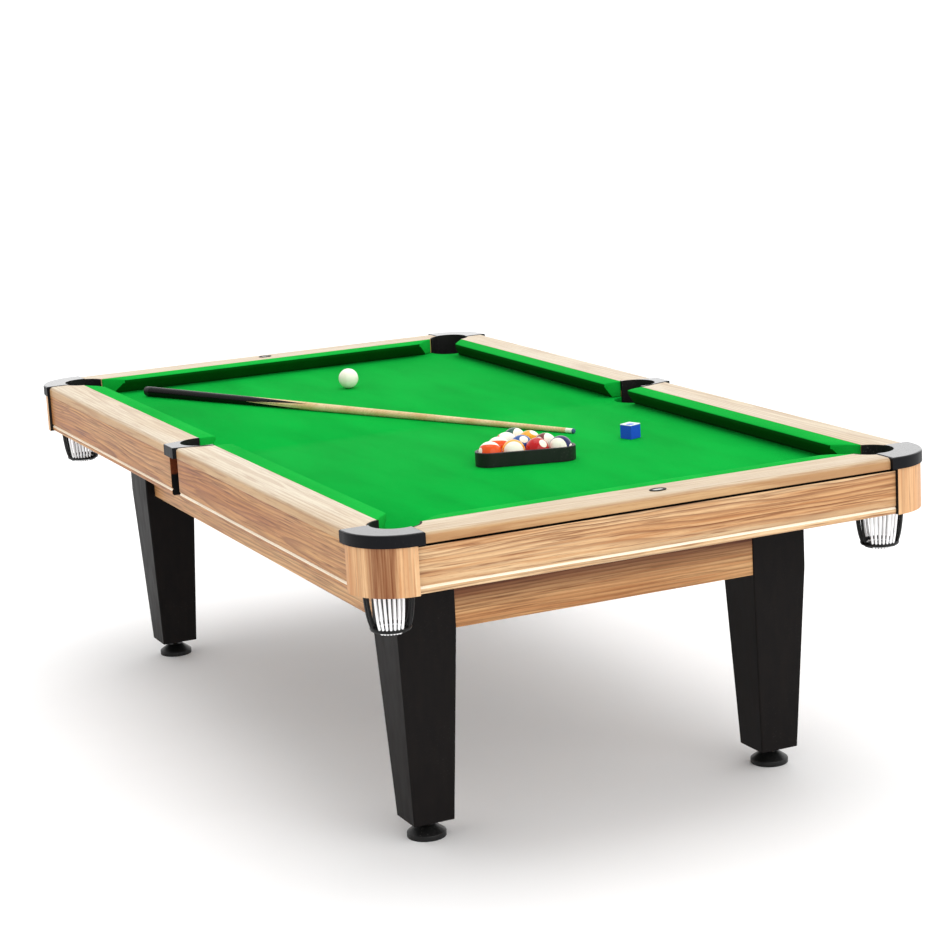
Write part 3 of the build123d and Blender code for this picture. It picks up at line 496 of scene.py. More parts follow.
SLOT_REACH, SLOT_CHANGE = 0.04, 0.716    # half length of a slot, and the height where its tone changes
slot_dark = slot_finish("slot_dark", (116, 54, 26), (12, 11, 11), SLOT_CHANGE)
print("slot finish:", slot_dark.name)


# %% Boards with their grain
X, Y, Z = range(3)
SQUARE_ON, STEEP = 0.9, 0.5    # shares of a normal along an axis
GROOVE_TOP = 0.69              # a height just above the groove of the apron boards


def mark_grain(piece, number, place):
    """Stores where each point lies in its board, how far it looks up, and the board's number."""
    mesh = piece.data
    lying = mesh.attributes.new("lying", "FLOAT", "POINT")
    lying.data.foreach_set("value", [point.normal.z for point in mesh.vertices])
    grain = mesh.attributes.new("grain", "FLOAT_VECTOR", "POINT")
    grain.data.foreach_set("vector", [value for point in mesh.vertices for value in place(point.co)])
    board = mesh.attributes.new("board", "FLOAT", "POINT")
    board.data.foreach_set("value", [float(number)] * len(mesh.vertices))


def board_place(node, lengthwise, facing):
    """How far along, across and into a board a point is, for a board along one axis that faces another."""
    low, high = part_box(node)
    middle = [(a + b) / 2 for a, b in zip(low, high)]
    across = X + Y + Z - lengthwise - facing

    def place(point):
        offset = [point[axis] - middle[axis] for axis in range(3)]
        return offset[lengthwise], offset[across], -abs(offset[facing])

    return place


def board_piece(node, finish, number, lengthwise, facing, gap=0):
    """A board of the table. Given 1 or -1, the last argument paints black, as painted shade, the faces that
    look up or down into a shadow gap.
    """
    piece = worked_copy(node, f"oak_{node}", finish, liner_and_gap_shade_black, slot_dark, groove_highlight_oak, edge=0.0013)
    mark_grain(piece, number, board_place(node, lengthwise, facing))
    for face in piece.data.polygons:
        beside_slot = abs(face.normal.y) > SQUARE_ON and abs(face.center.y) < SLOT_REACH
        tilted_up = UPRIGHT < face.normal.z < SQUARE_ON
        # Groove lips that tilt up take the pale oak as a painted highlight.
        groove_highlight = "skirt" in node and tilted_up and face.center.z < GROOVE_TOP
        face.material_index = 2 if beside_slot else 3 if groove_highlight else int(face.normal.z * gap > SQUARE_ON)
    return settle(piece, "table", "oak", node)


for number, quarter in enumerate(QUARTERS):
    board_piece(f"side_rail_{quarter}", rail_oak, 1 + number, Y, Z)
    board_piece(f"side_skirt_{quarter}", side_apron_shade_oak, 11 + number, Y, X)
for number, end in enumerate(ENDS):
    board_piece(f"end_rail_{end}", rail_oak, 21 + number, X, Z, gap=-1)
    board_piece(f"end_skirt_{end}", end_oak, 31 + number, X, Y, gap=1)
    board_piece(f"end_beam_{end}", beam_oak, 41 + number, X, Y)
for number, side in enumerate(SIDES):
    board_piece(f"side_beam_{side}", beam_oak, 51 + number, Y, X)

# %% [markdown]
# ## Corner blocks
# A quarter-round block turns each corner of the apron, and its grain stands upright. Along the grain is now
# the height, and across the face is the length of the arc, so the bands stay evenly wide round the bend.

# %% Corner blocks
BEND_RADIUS = 0.112
BLOCK_MIDDLE, HEART_AT = 0.71, 0.102    # height of a block's middle, and its heart's place on the arc
for number, (quarter, (sx, sy)) in enumerate(QUARTERS.items()):
    node = f"corner_block_{quarter}"
    low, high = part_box(node)
    bend = Vector((
        (high.x if sx > 0 else low.x) - sx * BEND_RADIUS,
        (high.y if sy > 0 else low.y) - sy * BEND_RADIUS))

    def upright_place(point, bend=bend, sx=sx, sy=sy):
        out_x, out_y = sx * (point.x - bend.x), sy * (point.y - bend.y)
        arc = atan2(max(out_y, 0.0), max(out_x, 0.0)) * BEND_RADIUS + min(out_x, 0.0) - min(out_y, 0.0)
        return point.z - BLOCK_MIDDLE, arc - HEART_AT, sqrt(out_x ** 2 + out_y ** 2) - BEND_RADIUS

    piece = worked_copy(node, f"oak_{node}", heart_oak if sx == sy else block_oak, liner_and_gap_shade_black, edge=0.0012)
    mark_grain(piece, 61 + number, upright_place)
    # End faces that look along an apron towards the middle of the table are painted black: painted shade of
    # the joint.
    for face in piece.data.polygons:
        face.material_index = int(min(sx * face.normal.x, sy * face.normal.y) < -SQUARE_ON)
    settle(piece, "table", "oak", node)

# %% [markdown]
# ## Castings and pocket liners
# Black castings frame the pockets. Their solids already have the rounded edges of a moulding, so the copy
# needs little more than smooth shading. The liners below them are black inside and brown outside, where the
# slot at a side pocket lets them show, and a face's direction from the liner's axis tells the two apart.

# %% Castings and liners
LINER_NODES = ("corner_pocket_liners", "side_pocket_liners")
pocket_centres = [middle_of(box).xy for node in LINER_NODES for box in solid_boxes(node)]
CORNER_POCKET = max(pocket_centres, key=sum)
SIDE_POCKET = max(pocket_centres, key=lambda spot: spot.x - abs(spot.y))
HOLE_WALL, LINER_OUTSIDE = -0.05, 0.03    # how far such faces look away from their pocket's middle


def outwardness(face):
    """How far a face looks away from the middle of the pocket nearest to it, in metres."""
    centre = min(pocket_centres, key=lambda spot: (spot - face.center.xy).length)
    return (face.center.xy - centre).dot(face.normal.xy)


castings = [f"corner_casting_{quarter}" for quarter in QUARTERS] + [f"side_casting_{side}" for side in SIDES]
for node in castings:
    piece = worked_copy(node, f"moulded_{node}", casting_black, liner_and_gap_shade_black, casting_wall, edge=0.0006)
    for face in piece.data.polygons:
        in_the_hole = outwardness(face) < HOLE_WALL
        face.material_index = 1 if in_the_hole else 2 * int(abs(face.normal.z) < STEEP)
    settle(piece, "table", "casting_plastic", node)
for node in LINER_NODES:
    liners = worked_copy(node, f"moulded_{node}", liner_and_gap_shade_black, liner_brown, edge=0.0005)
    for face in liners.data.polygons:
        face.material_index = int(outwardness(face) > LINER_OUTSIDE)
    settle(liners, "table", "drum_plastic", node)

# %% [markdown]
# ## Ball baskets
# Below each pocket hangs a cup of ribs on black hoops. At the corners the ribs in front and behind are white,
# a painted highlight for glossy black ribs that catch the light, and all others are black. Modelling every
# rib by hand would be slow to change, so a Geometry Nodes tree does it: one rib, a curve from the rim to the
# foot, is repeated in fans round the cup, with hoops to hold it.
# Sizes are named inputs. The result is read back as a plain mesh, because instances don't survive an export.


# %% A basket tree in Geometry Nodes
def basket_tree():
    tree = bpy.data.node_groups.new("ball_basket", "GeometryNodeTree")
    tree.interface.new_socket("Geometry", in_out="OUTPUT", socket_type="NodeSocketGeometry")
    kinds = {"Rim Radius": "Float", "Foot Radius": "Float", "Height": "Float", "Ribs in a Fan": "Int",
             "Black Ribs in a Fan": "Int", "Rib Step": "Float", "Black Rib Step": "Float", "Turn": "Float",
             "Rib Radius": "Float", "Bright": "Material", "Black": "Material"}
    for label, kind in kinds.items():
        tree.interface.new_socket(label, in_out="INPUT", socket_type=f"NodeSocket{kind}")
    given = add(tree, "NodeGroupInput").outputs
    rim, foot, thick = (given[label] for label in ("Rim Radius", "Foot Radius", "Rib Radius"))
    down = times(given["Height"], -1.0)

    def grow(kind, **inputs):
        named = {key.replace("_", " "): value for key, value in inputs.items()}
        return add(tree, f"GeometryNode{kind}", named).outputs[0]

    def point(x, z):
        return add(tree, "ShaderNodeCombineXYZ", {"X": x, "Z": z}).outputs[0]

    def tube(curve, size):
        section = grow("CurvePrimitiveCircle", Resolution=8, Radius=size)
        return grow("CurveToMesh", Curve=curve, Profile_Curve=section, Fill_Caps=True)

    def repeated(shape, number, turn):
        places = grow("Points", Count=number)
        return grow("InstanceOnPoints", Points=places, Instance=shape, Rotation=point(0.0, turn))

    def two_fans(count, step, middle):
        """Ribs in two opposite fans. Each runs down from the rim and curves in underneath."""
        rib = tube(grow(
            "CurveQuadraticBezier", Resolution=12, Start=point(rim, 0.0), End=point(foot, down),
            Middle=point(times(rim, 0.94), down)), thick)
        index = grow("InputIndex")
        fan = maths("FLOOR", maths("DIVIDE", maths("ADD", index, 0.5), count))
        order = maths("SUBTRACT", index, times(fan, count))
        from_middle = maths("SUBTRACT", order, times(maths("SUBTRACT", count, 1.0), 0.5))
        middle = maths("ADD", given["Turn"], middle)
        turn = maths("MULTIPLY_ADD", from_middle, step, maths("MULTIPLY_ADD", fan, pi, middle))
        return repeated(rib, times(count, 2.0), turn)

    def hoop(radius, z, size):
        circle = grow("CurvePrimitiveCircle", Resolution=40, Radius=radius)
        return tube(grow("Transform", Geometry=circle, Translation=point(0.0, z)), size)

    def joined(parts):
        node = add(tree, "GeometryNodeJoinGeometry")
        for part in parts:
            tree.links.new(part, node.inputs[0])
        return node.outputs[0]

    def painted(parts, finish):
        solid = grow("RealizeInstances", Geometry=joined(parts))
        return grow("SetMaterial", Geometry=solid, Material=finish)

    spoke = grow("CurvePrimitiveLine", Start=point(foot, down), End=point(times(foot, -1.0), down))
    floor = repeated(tube(spoke, thick), 3, times(grow("InputIndex"), pi / 3))
    low_radius = maths("MULTIPLY_ADD", rim, 0.42, times(foot, 0.56))
    low_hoop = hoop(low_radius, times(down, 0.94), times(thick, 1.7))
    front_and_back = two_fans(given["Ribs in a Fan"], given["Rib Step"], pi / 2)
    sides = two_fans(given["Black Ribs in a Fan"], given["Black Rib Step"], 0.0)
    bright = painted([front_and_back], given["Bright"])
    black = painted([sides, hoop(rim, 0.0, thick), low_hoop, hoop(foot, down, thick), floor], given["Black"])
    add(tree, "NodeGroupOutput", {0: joined([bright, black])})
    return tree


cup_tree = basket_tree()
print("basket tree:", len(cup_tree.nodes), "nodes")


# %% Six baskets
RIB_RADIUS, FOOT_SHARE = 0.0031, 0.56    # the second is the foot's part of the rim's radius


def basket_mesh(height, rim_radius, bright):
    holder = new_piece("basket_trial", bpy.data.meshes.new("basket_trial"))
    grown = holder.modifiers.new("basket", "NODES")
    grown.node_group = cup_tree
    sizes = {"Rim Radius": rim_radius, "Foot Radius": FOOT_SHARE * rim_radius, "Height": height,
             "Ribs in a Fan": 7, "Black Ribs in a Fan": 5, "Rib Step": radians(11.5),
             "Black Rib Step": radians(14), "Turn": radians(-22), "Rib Radius": RIB_RADIUS,
             "Bright": bright, "Black": basket_black}
    for item in cup_tree.interface.items_tree:
        if item.in_out == "INPUT":
            grown[item.identifier] = sizes[item.name]
    mesh = plain_mesh(holder).data
    bpy.data.objects.remove(holder)
    return mesh


def hung_baskets(node, name, bright):
    """Grows one cup, puts a copy into every solid of the node and joins the copies."""
    boxes = solid_boxes(node)
    low, high = boxes[0]
    cup = basket_mesh(high.z - low.z - 2 * RIB_RADIUS, (high.x - low.x) / 2 - RIB_RADIUS, bright)
    bm = bmesh.new()
    for low, high in boxes:
        hung = cup.copy()
        hung.transform(Matrix.Translation(((low.x + high.x) / 2, (low.y + high.y) / 2, high.z - RIB_RADIUS)))
        bm.from_mesh(hung)
        bpy.data.meshes.remove(hung)
    return settle(new_piece(name, smooth_mesh(bm, name, 50), *cup.materials), "table", "basket_plastic", node)


hung_baskets("corner_baskets", "corner_rib_baskets", rib_highlight_white)
hung_baskets("side_baskets", "side_rib_baskets", basket_black)

# %% [markdown]
# ## Bed cloth
# One sheet of wool is stretched over the slate and turned down into the six pockets, where its edge is rolled
# over the stone. A flat plane would show a knife edge there, so the outline is drawn as a polygon with round
# bites, and its pocket edges are carried over a small lip and down.

# %% Bed cloth
BED_X, BED_Y, CLOTH_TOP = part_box("bed_cloth")[1]
BITE, WOOL = 0.0585, 0.0008    # radius of a pocket's bite, and thickness of the cloth
LIP = (0.0, 0.0), (0.0006, 0.0004), (0.0009, 0.0014), (0.0009, 0.0215)    # inward and down, ring by ring


def bite_points(centre, start, sweep, steps=24):
    """Points round a pocket's bite: place, and the direction to the pocket's middle."""
    turns = [radians(start + sweep * step / steps) for step in range(steps + 1)]
    return [(centre[0] + BITE * cos(a), centre[1] + BITE * sin(a), -cos(a), -sin(a)) for a in turns]


def mirrored(points, sx, sy):
    """A stretch of the edge on another side. One mirror alone also turns its direction round."""
    moved = [(sx * x, sy * y, sx * nx, sy * ny) for x, y, nx, ny in points]
    return moved if sx == sy else moved[::-1]


quarter_edge = [(BED_X, BITE, 0, 0), (BED_X, CORNER_POCKET[1] - BITE, 0, 0)]
quarter_edge += bite_points(CORNER_POCKET, 270, -90) + [(CORNER_POCKET[0] - BITE, BED_Y, 0, 0)]
side_bite = bite_points(SIDE_POCKET, 270, -180)
edge_points = (
    quarter_edge + mirrored(quarter_edge, -1, 1) + mirrored(side_bite, -1, 1)
    + mirrored(quarter_edge, -1, -1) + mirrored(quarter_edge, 1, -1) + side_bite)
bm = bmesh.new()
rings = [
    [bm.verts.new((x + nx * inward, y + ny * inward, CLOTH_TOP - drop)) for x, y, nx, ny in edge_points]
    for inward, drop in LIP]
top = bm.faces.new(rings[0])
count = len(edge_points)
for upper, lower in zip(rings, rings[1:]):
    for i in range(count):
        if all(edge_points[j][2:] != (0, 0) for j in (i, (i + 1) % count)):
            bm.faces.new((upper[i], lower[i], lower[(i + 1) % count], upper[(i + 1) % count]))
bmesh.ops.delete(bm, geom=[v for v in bm.verts if not v.link_faces], context="VERTS")
bmesh.ops.triangulate(bm, faces=[top])
bmesh.ops.recalc_face_normals(bm, faces=bm.faces[:])
if sum(face.normal.z * face.calc_area() for face in bm.faces) < 0:
    bmesh.ops.reverse_faces(bm, faces=bm.faces[:])
cloth = new_piece("bed_wool", smooth_mesh(bm, "bed_wool", 60), bed_green)
thick = cloth.modifiers.new("wool", "SOLIDIFY")
thick.thickness, thick.offset = WOOL, -1
plain_mesh(cloth)
settle(cloth, "table", "cloth", "bed_cloth")

# %% [markdown]
# ## Cushions
# Each cushion is a rubber profile wrapped tightly in the same wool: a gently crowned top, a round nose and an
# undercut face, with its ends cut back towards the pockets. A straight extrusion has hard ends, so the
# section is lofted ring by ring, and the last rings shrink a little, which rolls the cloth over the end.


# %% Cushion shapes
def rounded_outline(corners, steps=5):
    """Points of a closed outline whose corners each have a radius."""
    points = []
    for i, (u, z, radius) in enumerate(corners):
        here = Vector((u, z))
        back = (Vector(corners[i - 1][:2]) - here).normalized()
        on = (Vector(corners[(i + 1) % len(corners)][:2]) - here).normalized()
        half = back.angle(on) / 2
        centre = here + (back + on).normalized() * (radius / sin(half))
        first = here + back * (radius / tan(half)) - centre
        last = here + on * (radius / tan(half)) - centre
        points += [centre + first.slerp(last, step / steps) * radius for step in range(steps + 1)]
    return points


NOSE_X, NOSE_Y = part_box("side_cushion_back_right")[0].x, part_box("end_cushion_back")[0].y
RAIL_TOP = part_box("end_rail_back")[1].z
CUSHION_WIDTH, END_ROLL, STATIONS = 0.048, 0.0035, 16
NOSE_UNDER = 0.3    # upward share of a normal below which the face of the nose gets painted shade
cushion_section = rounded_outline([
    (0.0478, 0.7475, 0.001), (0.0225, 0.7475, 0.002), (0.0002, 0.7778, 0.006),
    (0.0004, 0.7874, 0.0035), (0.020, 0.7896, 0.06), (0.0478, 0.7899, 0.0012)])


def cushion_piece(node, start, end, place):
    """Lofts a cushion between two ends that depend on the depth, and puts each point in its place."""
    middle = sum(cushion_section, Vector((0, 0))) / len(cushion_section)
    ends = [(0.0, END_ROLL), (0.3 * END_ROLL, 0.3 * END_ROLL), (END_ROLL, 0.0)]
    places = [(0.0, shift, shrink) for shift, shrink in ends]
    places += [(step / STATIONS, 0.0, 0.0) for step in range(1, STATIONS)]
    places += [(1.0, -shift, shrink) for shift, shrink in reversed(ends)]
    bm = bmesh.new()
    rings = []
    for share, shift, shrink in places:
        section = [point + (middle - point).normalized() * shrink for point in cushion_section]
        rings.append([
            bm.verts.new(place(start(u) + (end(u) - start(u)) * share + shift, u, z)) for u, z in section])
    skin(bm, rings)
    mesh = smooth_mesh(bm, node, 40)
    lengthwise = Y if node.startswith("side") else X
    for face in mesh.polygons:
        # Painted shade: faces under the nose take the much darker copy of the green.
        face.material_index = int(face.normal.z < NOSE_UNDER and abs(face.normal[lengthwise]) < STEEP)
    piece = new_piece(f"wool_{node}", mesh, lit_cushion_green, nose_shade_green)
    settle(piece, "table", "cloth", node)
    return piece


def cut_back(nose_end, back_end, along_centre, depth_centre):
    """End of a cushion at each depth: a slanting cut, with the pocket's own bite taken out."""

    def at(u):
        slant = nose_end + (back_end - nose_end) * min(max(u / CUSHION_WIDTH, 0.0), 1.0)
        off = BITE ** 2 - (u - depth_centre) ** 2
        return min(slant, along_centre - sqrt(off)) if off > 0 else slant

    return at


# %% Six cushions
corner_depth, side_depth = CORNER_POCKET.x - NOSE_X, SIDE_POCKET.x - NOSE_X
corner_mouth, side_mouth = 0.118 / sqrt(2), 0.065    # along a rail, from where the noses would meet
corner_throat = sqrt(BITE ** 2 - (CUSHION_WIDTH - corner_depth) ** 2)
side_throat = sqrt(BITE ** 2 - (CUSHION_WIDTH - side_depth) ** 2)
to_corner = cut_back(NOSE_Y - corner_mouth, CORNER_POCKET.y - corner_throat, CORNER_POCKET.y, corner_depth)
to_side = cut_back(-side_mouth, -side_throat, 0.0, side_depth)
for quarter, (sx, sy) in QUARTERS.items():
    cushion_piece(
        f"side_cushion_{quarter}", lambda u: -to_side(u), to_corner,
        lambda s, u, z, sx=sx, sy=sy: (sx * (NOSE_X + u), sy * s, z))
to_end_corner = cut_back(
    NOSE_X - corner_mouth, CORNER_POCKET.x - corner_throat, CORNER_POCKET.x, corner_depth)
for end, sy in ENDS.items():
    cushion_piece(
        f"end_cushion_{end}", lambda u: -to_end_corner(u), to_end_corner,
        lambda s, u, z, sy=sy: (s, sy * (NOSE_Y + u), z))

# %% [markdown]
# ## Legs and levelling feet
# The legs are square, tapered and black, and stand on round feet that screw in and out. Their solids have the
# right shape, so they are copied with soft edges. The feet ride on bodies of their own, because they turn.

# %% Legs and feet
for quarter in QUARTERS:
    leg = f"leg_{quarter}"
    settle(worked_copy(leg, f"black_{leg}", leg_black, edge=0.0012), "table", "black_laminate", leg)
    foot = f"leveller_{quarter}"
    turned = worked_copy(foot, f"turned_{foot}", foot_black, edge=0.0016, segments=3)
    settle(turned, foot, "foot_plastic", foot)

# %% [markdown]
# ## Under the table
# Slate, liner boards, cross rails and steel fittings are seen only from below. Their solids stay as they are
# and get their own finishes. The plain timber reads Object coordinates, since its grain is hardly seen.

# %% Finishes below the bed
timber, tree, shader = new_finish("frame_pine", shine=0.3)
pine = figured(object_place(tree), 3.0, 0.016, (222, 186, 138), (204, 160, 108), (150, 104, 60), 0.6)
put(shader["Base Color"], pine["Color"])
put(shader["Roughness"], level(pine["Fibre"], 0.2, 0.8, 0.6, 0.75))
put(shader["Normal"], bump(pine["Height"], 0.0003))
under = {
    "slate_slabs": slate_grey, "bed_liners": timber, "cross_rails": timber, "leveller_inserts": brass_turned,
    "leg_brackets": zinc_plate, "bracket_bolts": zinc_plate, "skirt_brackets": zinc_plate,
    "rail_bolts": zinc_plate}
for node, finish in under.items():
    nodes[node].data.materials.clear()
    nodes[node].data.materials.append(finish)
print("finished in place:", sorted(under))

# %% [markdown]
# ## Balls
# Pool balls are polished resin: solid colours, or white with a broad band, each with a small white disc.
# Instead of painting an image, every point of a ball stores its direction in the ball's own turned frame and
# the ball's colour. The shader then finds the band and the disc from that direction, sharp at any distance.

# %% Ball finish
BALL_RADIUS = 0.0286
BAND_EDGE, DISC_EDGE = (0.545, 0.555), (0.925, 0.93)    # parts of the radius between which each edge fades


def ball_finish():
    finish, tree, shader = new_finish(
        "ball_gloss", Roughness=0.1, shine=0.3, Coat_Weight=0.1, Coat_Roughness=0.03)
    x, y, z = split(stored(tree, "ball_way", "Vector"))
    cap = times(stored(tree, "ball_striped"), level(maths("ABSOLUTE", z), *BAND_EDGE))
    disc = level(maths("ABSOLUTE", x), *DISC_EDGE)
    cloudy = level(noise(object_place(tree), 60, 3), 0.3, 0.7)
    ivory = blend(cloudy, tint(250, 246, 232), tint(243, 236, 216))
    colour = blend(maths("MAXIMUM", cap, disc), stored(tree, "ball_colour", "Color"), ivory)
    put(shader["Base Color"], colour)
    return finish


def ball_mesh(name, balls):
    """Spheres with their own turned frames: centre, turn in degrees, colour and whether striped."""
    bm = bmesh.new()
    way = bm.verts.layers.float_vector.new("ball_way")
    paint = bm.verts.layers.float_color.new("ball_colour")
    striped = bm.verts.layers.float.new("ball_striped")
    for centre, turn, colour, banded in balls:
        turned = Matrix.Rotation(radians(turn[2]), 3, "Z") @ Matrix.Rotation(radians(turn[1]), 3, "Y")
        turned = (turned @ Matrix.Rotation(radians(turn[0]), 3, "X")).inverted()
        for vert in bmesh.ops.create_icosphere(bm, subdivisions=5, radius=BALL_RADIUS)["verts"]:
            vert[way] = turned @ vert.co.normalized()
            vert[paint] = tint(*colour)
            vert[striped] = float(banded)
            vert.co = vert.co.normalized() * BALL_RADIUS + centre
    return smooth_mesh(bm, name)


ball_gloss = ball_finish()
print("ball finish:", ball_gloss.name)

# %% Ten racked balls and the cue ball
YELLOW, ORANGE, RED, MAROON = (238, 164, 6), (232, 78, 6), (190, 6, 12), (110, 6, 14)
BLUE, NAVY, GREEN = (8, 74, 150), (6, 16, 84), (2, 84, 64)
# Apex first, then row by row, left to right as seen from the front: colour, striped, and how it lies
rack_order = [
    (GREEN, True, (70, 0, 30)),
    (ORANGE, True, (20, 15, 0)), (YELLOW, False, (0, -60, -60)),
    (ORANGE, True, (-18, 10, 0)), (BLUE, False, (0, -50, -95)), (MAROON, True, (60, 30, 20)),
    (ORANGE, True, (-22, 14, 0)), (YELLOW, True, (80, 0, -24)), (RED, False, (0, -38, -72)),
    (NAVY, True, (82, 0, -52))]
centres = [middle_of(box) for box in solid_boxes("object_balls")]
rack_turn = Matrix.Rotation(radians(16), 2)
centres.sort(key=lambda c: (-round((rack_turn @ c.xy).y, 2), (rack_turn @ c.xy).x))
racked = [(centre, lie, colour, band) for centre, (colour, band, lie) in zip(centres, rack_order)]
rack = new_piece("numberless_balls", ball_mesh("racked", racked), ball_gloss)
settle(rack, "racked_balls", "ball_resin", "object_balls")
white = [(middle_of(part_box("cue_ball")), (0, 90, 0), (250, 245, 230), True)]
settle(new_piece("white_ball", ball_mesh("white", white), ball_gloss), "cue_ball", "ball_resin", "cue_ball")

# %% [markdown]
# ## Triangle and chalk
# The rack is a black moulded triangle. The chalk is a small block in a blue wrapper with a dusty top. Both
# solids have the right form, so they are copied with rounder edges. On the chalk, the height of a point
# tells wrapper from bare chalk.

# %% Triangle and chalk
triangle = worked_copy("triangle", "moulded_triangle", rack_black, edge=0.0014, segments=3)
settle(triangle, "triangle", "rack_plastic", "triangle")
low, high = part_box("chalk")
chalk_blue, tree, shader = new_finish("chalk_blue", shine=0.2)
place = object_place(tree)
powder = noise(place, 700, 4)
height = split(place)["Z"]
bare = level(maths("MULTIPLY_ADD", powder, 0.002, height), high.z - 0.0012, high.z - 0.0004)
wrapper = blend(level(powder, 0.3, 0.7), tint(20, 70, 205), tint(36, 92, 222))
dusty = blend(level(powder, 0.3, 0.7), tint(214, 226, 240), tint(238, 242, 246))
put(shader["Base Color"], blend(bare, wrapper, dusty))
put(shader["Roughness"], level(bare, 0, 1, 0.5, 0.95))
put(shader["Normal"], bump(powder, 0.0003))
settle(worked_copy("chalk", "wrapped_chalk", chalk_blue, edge=0.0008), "chalk", "chalk", "chalk")

# %% [markdown]
# ## Cue
# The cue is a long taper: a leather tip, a pale ferrule, an ash shaft and a black butt with pale points let
# into it. A lathe shape is a ring of points repeated along the axis. Each point also stores its distance from
# the tip and its turn round the axis, so the shader can draw the points of the splice as narrowing wedges.

# %% Cue finish and shape
CUE_LENGTH, SPLICE = 1.524, (0.891, 1.126)          # the splice's two ends, measured from the tip
TIP_END, FERRULE_END, BUMPER = 0.006, 0.026, 0.02
TIP_RADIUS, BUTT_RADIUS = 0.0063, 0.0145
CUE_MIDDLE, CUE_TURN, REST_LEVEL = Vector((-0.091, 0.346)), radians(117.4), 0.7473
AROUND, ALONG, HAIR = 48, 60, 0.0001                # points in a ring, rings in the shaft, a sharp step


def cue_finish():
    finish, tree, shader = new_finish(
        "cue_lacquer", shine=0.12, Coat_Weight=0.04, Coat_Roughness=0.1)
    turned = stored(tree, "turned", "Vector")
    along, turn, _ = split(turned)
    figure = figured(object_place(tree), 1.5, 0.004, (240, 216, 172), (224, 190, 138), (176, 132, 84), 0.4)
    wedge = maths("PINGPONG", turn, pi / 4)
    reach = level(along, *SPLICE, pi / 4, -0.02)
    dark = maths("GREATER_THAN", along, SPLICE[0])
    pale = maths("LESS_THAN", wedge, reach)
    black = times(dark, maths("SUBTRACT", 1.0, pale))
    ebony_streaks = level(noise(stretched(turned, 30, 2, 1), 1, 3), 0.3, 0.7)
    ebony = blend(ebony_streaks, tint(10, 9, 10), tint(16, 14, 14))
    wood = blend(black, figure["Color"], ebony)
    wood = blend(maths("LESS_THAN", along, FERRULE_END), wood, tint(240, 236, 224))
    wood = blend(maths("LESS_THAN", along, TIP_END), wood, tint(70, 98, 132))
    bumper = maths("GREATER_THAN", along, CUE_LENGTH - BUMPER)
    put(shader["Base Color"], blend(bumper, wood, tint(40, 38, 38)))
    put(shader["Roughness"], level(figure["Fibre"], 0.2, 0.8, 0.22, 0.32))
    put(shader["Normal"], bump(figure["Height"], 0.00005))
    return finish


slope = (BUTT_RADIUS - TIP_RADIUS) / CUE_LENGTH
lean = atan2(slope, 1)
axis = Vector((cos(CUE_TURN) * cos(lean), sin(CUE_TURN) * cos(lean), sin(lean)))
sideways = Vector((-sin(CUE_TURN), cos(CUE_TURN), 0))
upward = axis.cross(sideways) * -1
middle_height = REST_LEVEL + (TIP_RADIUS + BUTT_RADIUS) / 2 * sqrt(1 + slope ** 2)
cue_tip = Vector((*CUE_MIDDLE, middle_height)) - axis * CUE_LENGTH / 2
shaft = CUE_LENGTH - FERRULE_END - BUMPER
# Distance from the tip and radius, ring by ring. None takes the radius from the taper
profile = [(0.0, 0.0035), (0.0008, 0.0052), (0.003, 0.0062), (TIP_END, TIP_RADIUS)]
profile += [(TIP_END + HAIR, TIP_RADIUS), (FERRULE_END, None)]
profile += [(FERRULE_END + shaft * step / ALONG, None) for step in range(1, ALONG + 1)]
profile += [(CUE_LENGTH - BUMPER + HAIR, None), (CUE_LENGTH - 0.004, 0.0140)]
profile += [(CUE_LENGTH - 0.001, 0.0128), (CUE_LENGTH, 0.0095)]
bm = bmesh.new()
layer = bm.verts.layers.float_vector.new("turned")
rings = []
for along, radius in profile:
    radius = radius or TIP_RADIUS + slope * along
    rings.append([])
    for step in range(AROUND):
        turn = tau * step / AROUND
        vert = bm.verts.new(cue_tip + axis * along + (sideways * cos(turn) + upward * sin(turn)) * radius)
        vert[layer] = (along, turn, radius)
        rings[-1].append(vert)
skin(bm, rings)
mesh = smooth_mesh(bm, "cue", 50)
settle(new_piece("spliced_cue", mesh, cue_finish()), "cue", "cue_ash", "cue_tip", "cue_shaft", "cue_butt")

# %% [markdown]
# ## Oval plates
# A small oval plate sits in the middle of each end rail: a low dome inside a dark raised rim. Both are rings
# of points on an ellipse, which keeps the rim evenly wide where scaling a round one would not.

# %% Two oval plates
PLATE_X, PLATE_Y, PLATE_AT, PLATE_STEPS = 0.020, 0.014, 1.214, 48    # half axes, and where along the table
PLATE_RINGS = (    # inset and height, from the foot of the rim to the dome
    (0.0, 0.0), (0.0, 0.0012), (0.0006, 0.0018), (0.0062, 0.0018), (0.0068, 0.0010), (0.0085, 0.0012))


def oval_plate(name, y):
    bm = bmesh.new()
    turns = [tau * step / PLATE_STEPS for step in range(PLATE_STEPS)]
    rings = []
    for inset, height in PLATE_RINGS:
        half_x, half_y, z = PLATE_X - inset, PLATE_Y - inset, RAIL_TOP + height
        rings.append([bm.verts.new((half_x * cos(a), y + half_y * sin(a), z)) for a in turns])
    skin(bm, rings, (0, 0, 0, 0, 1))
    settle(new_piece(name, smooth_mesh(bm, name, 40), leg_black, plate_satin), "table", "plate_trim")


plate_satin = plain_finish(
    "plate_satin", (206, 204, 198), (186, 184, 178), 0.3, texture=1200, dust=0.1, Metallic=0.6)
for end, sy in ENDS.items():
    oval_plate(f"oval_plate_{end}", sy * PLATE_AT)

# %% [markdown]
# ## Floor, light and camera
# A white studio: a very large pale floor, a soft bright sky that is brighter at the back right, and two broad
# suns, one overhead for the soft shadow under the table and one from the front. The camera's place and turn
# were fitted to the photograph's straight edges, so straight lines in the render land close to those of the
# photograph. View transform Standard keeps the whites white.

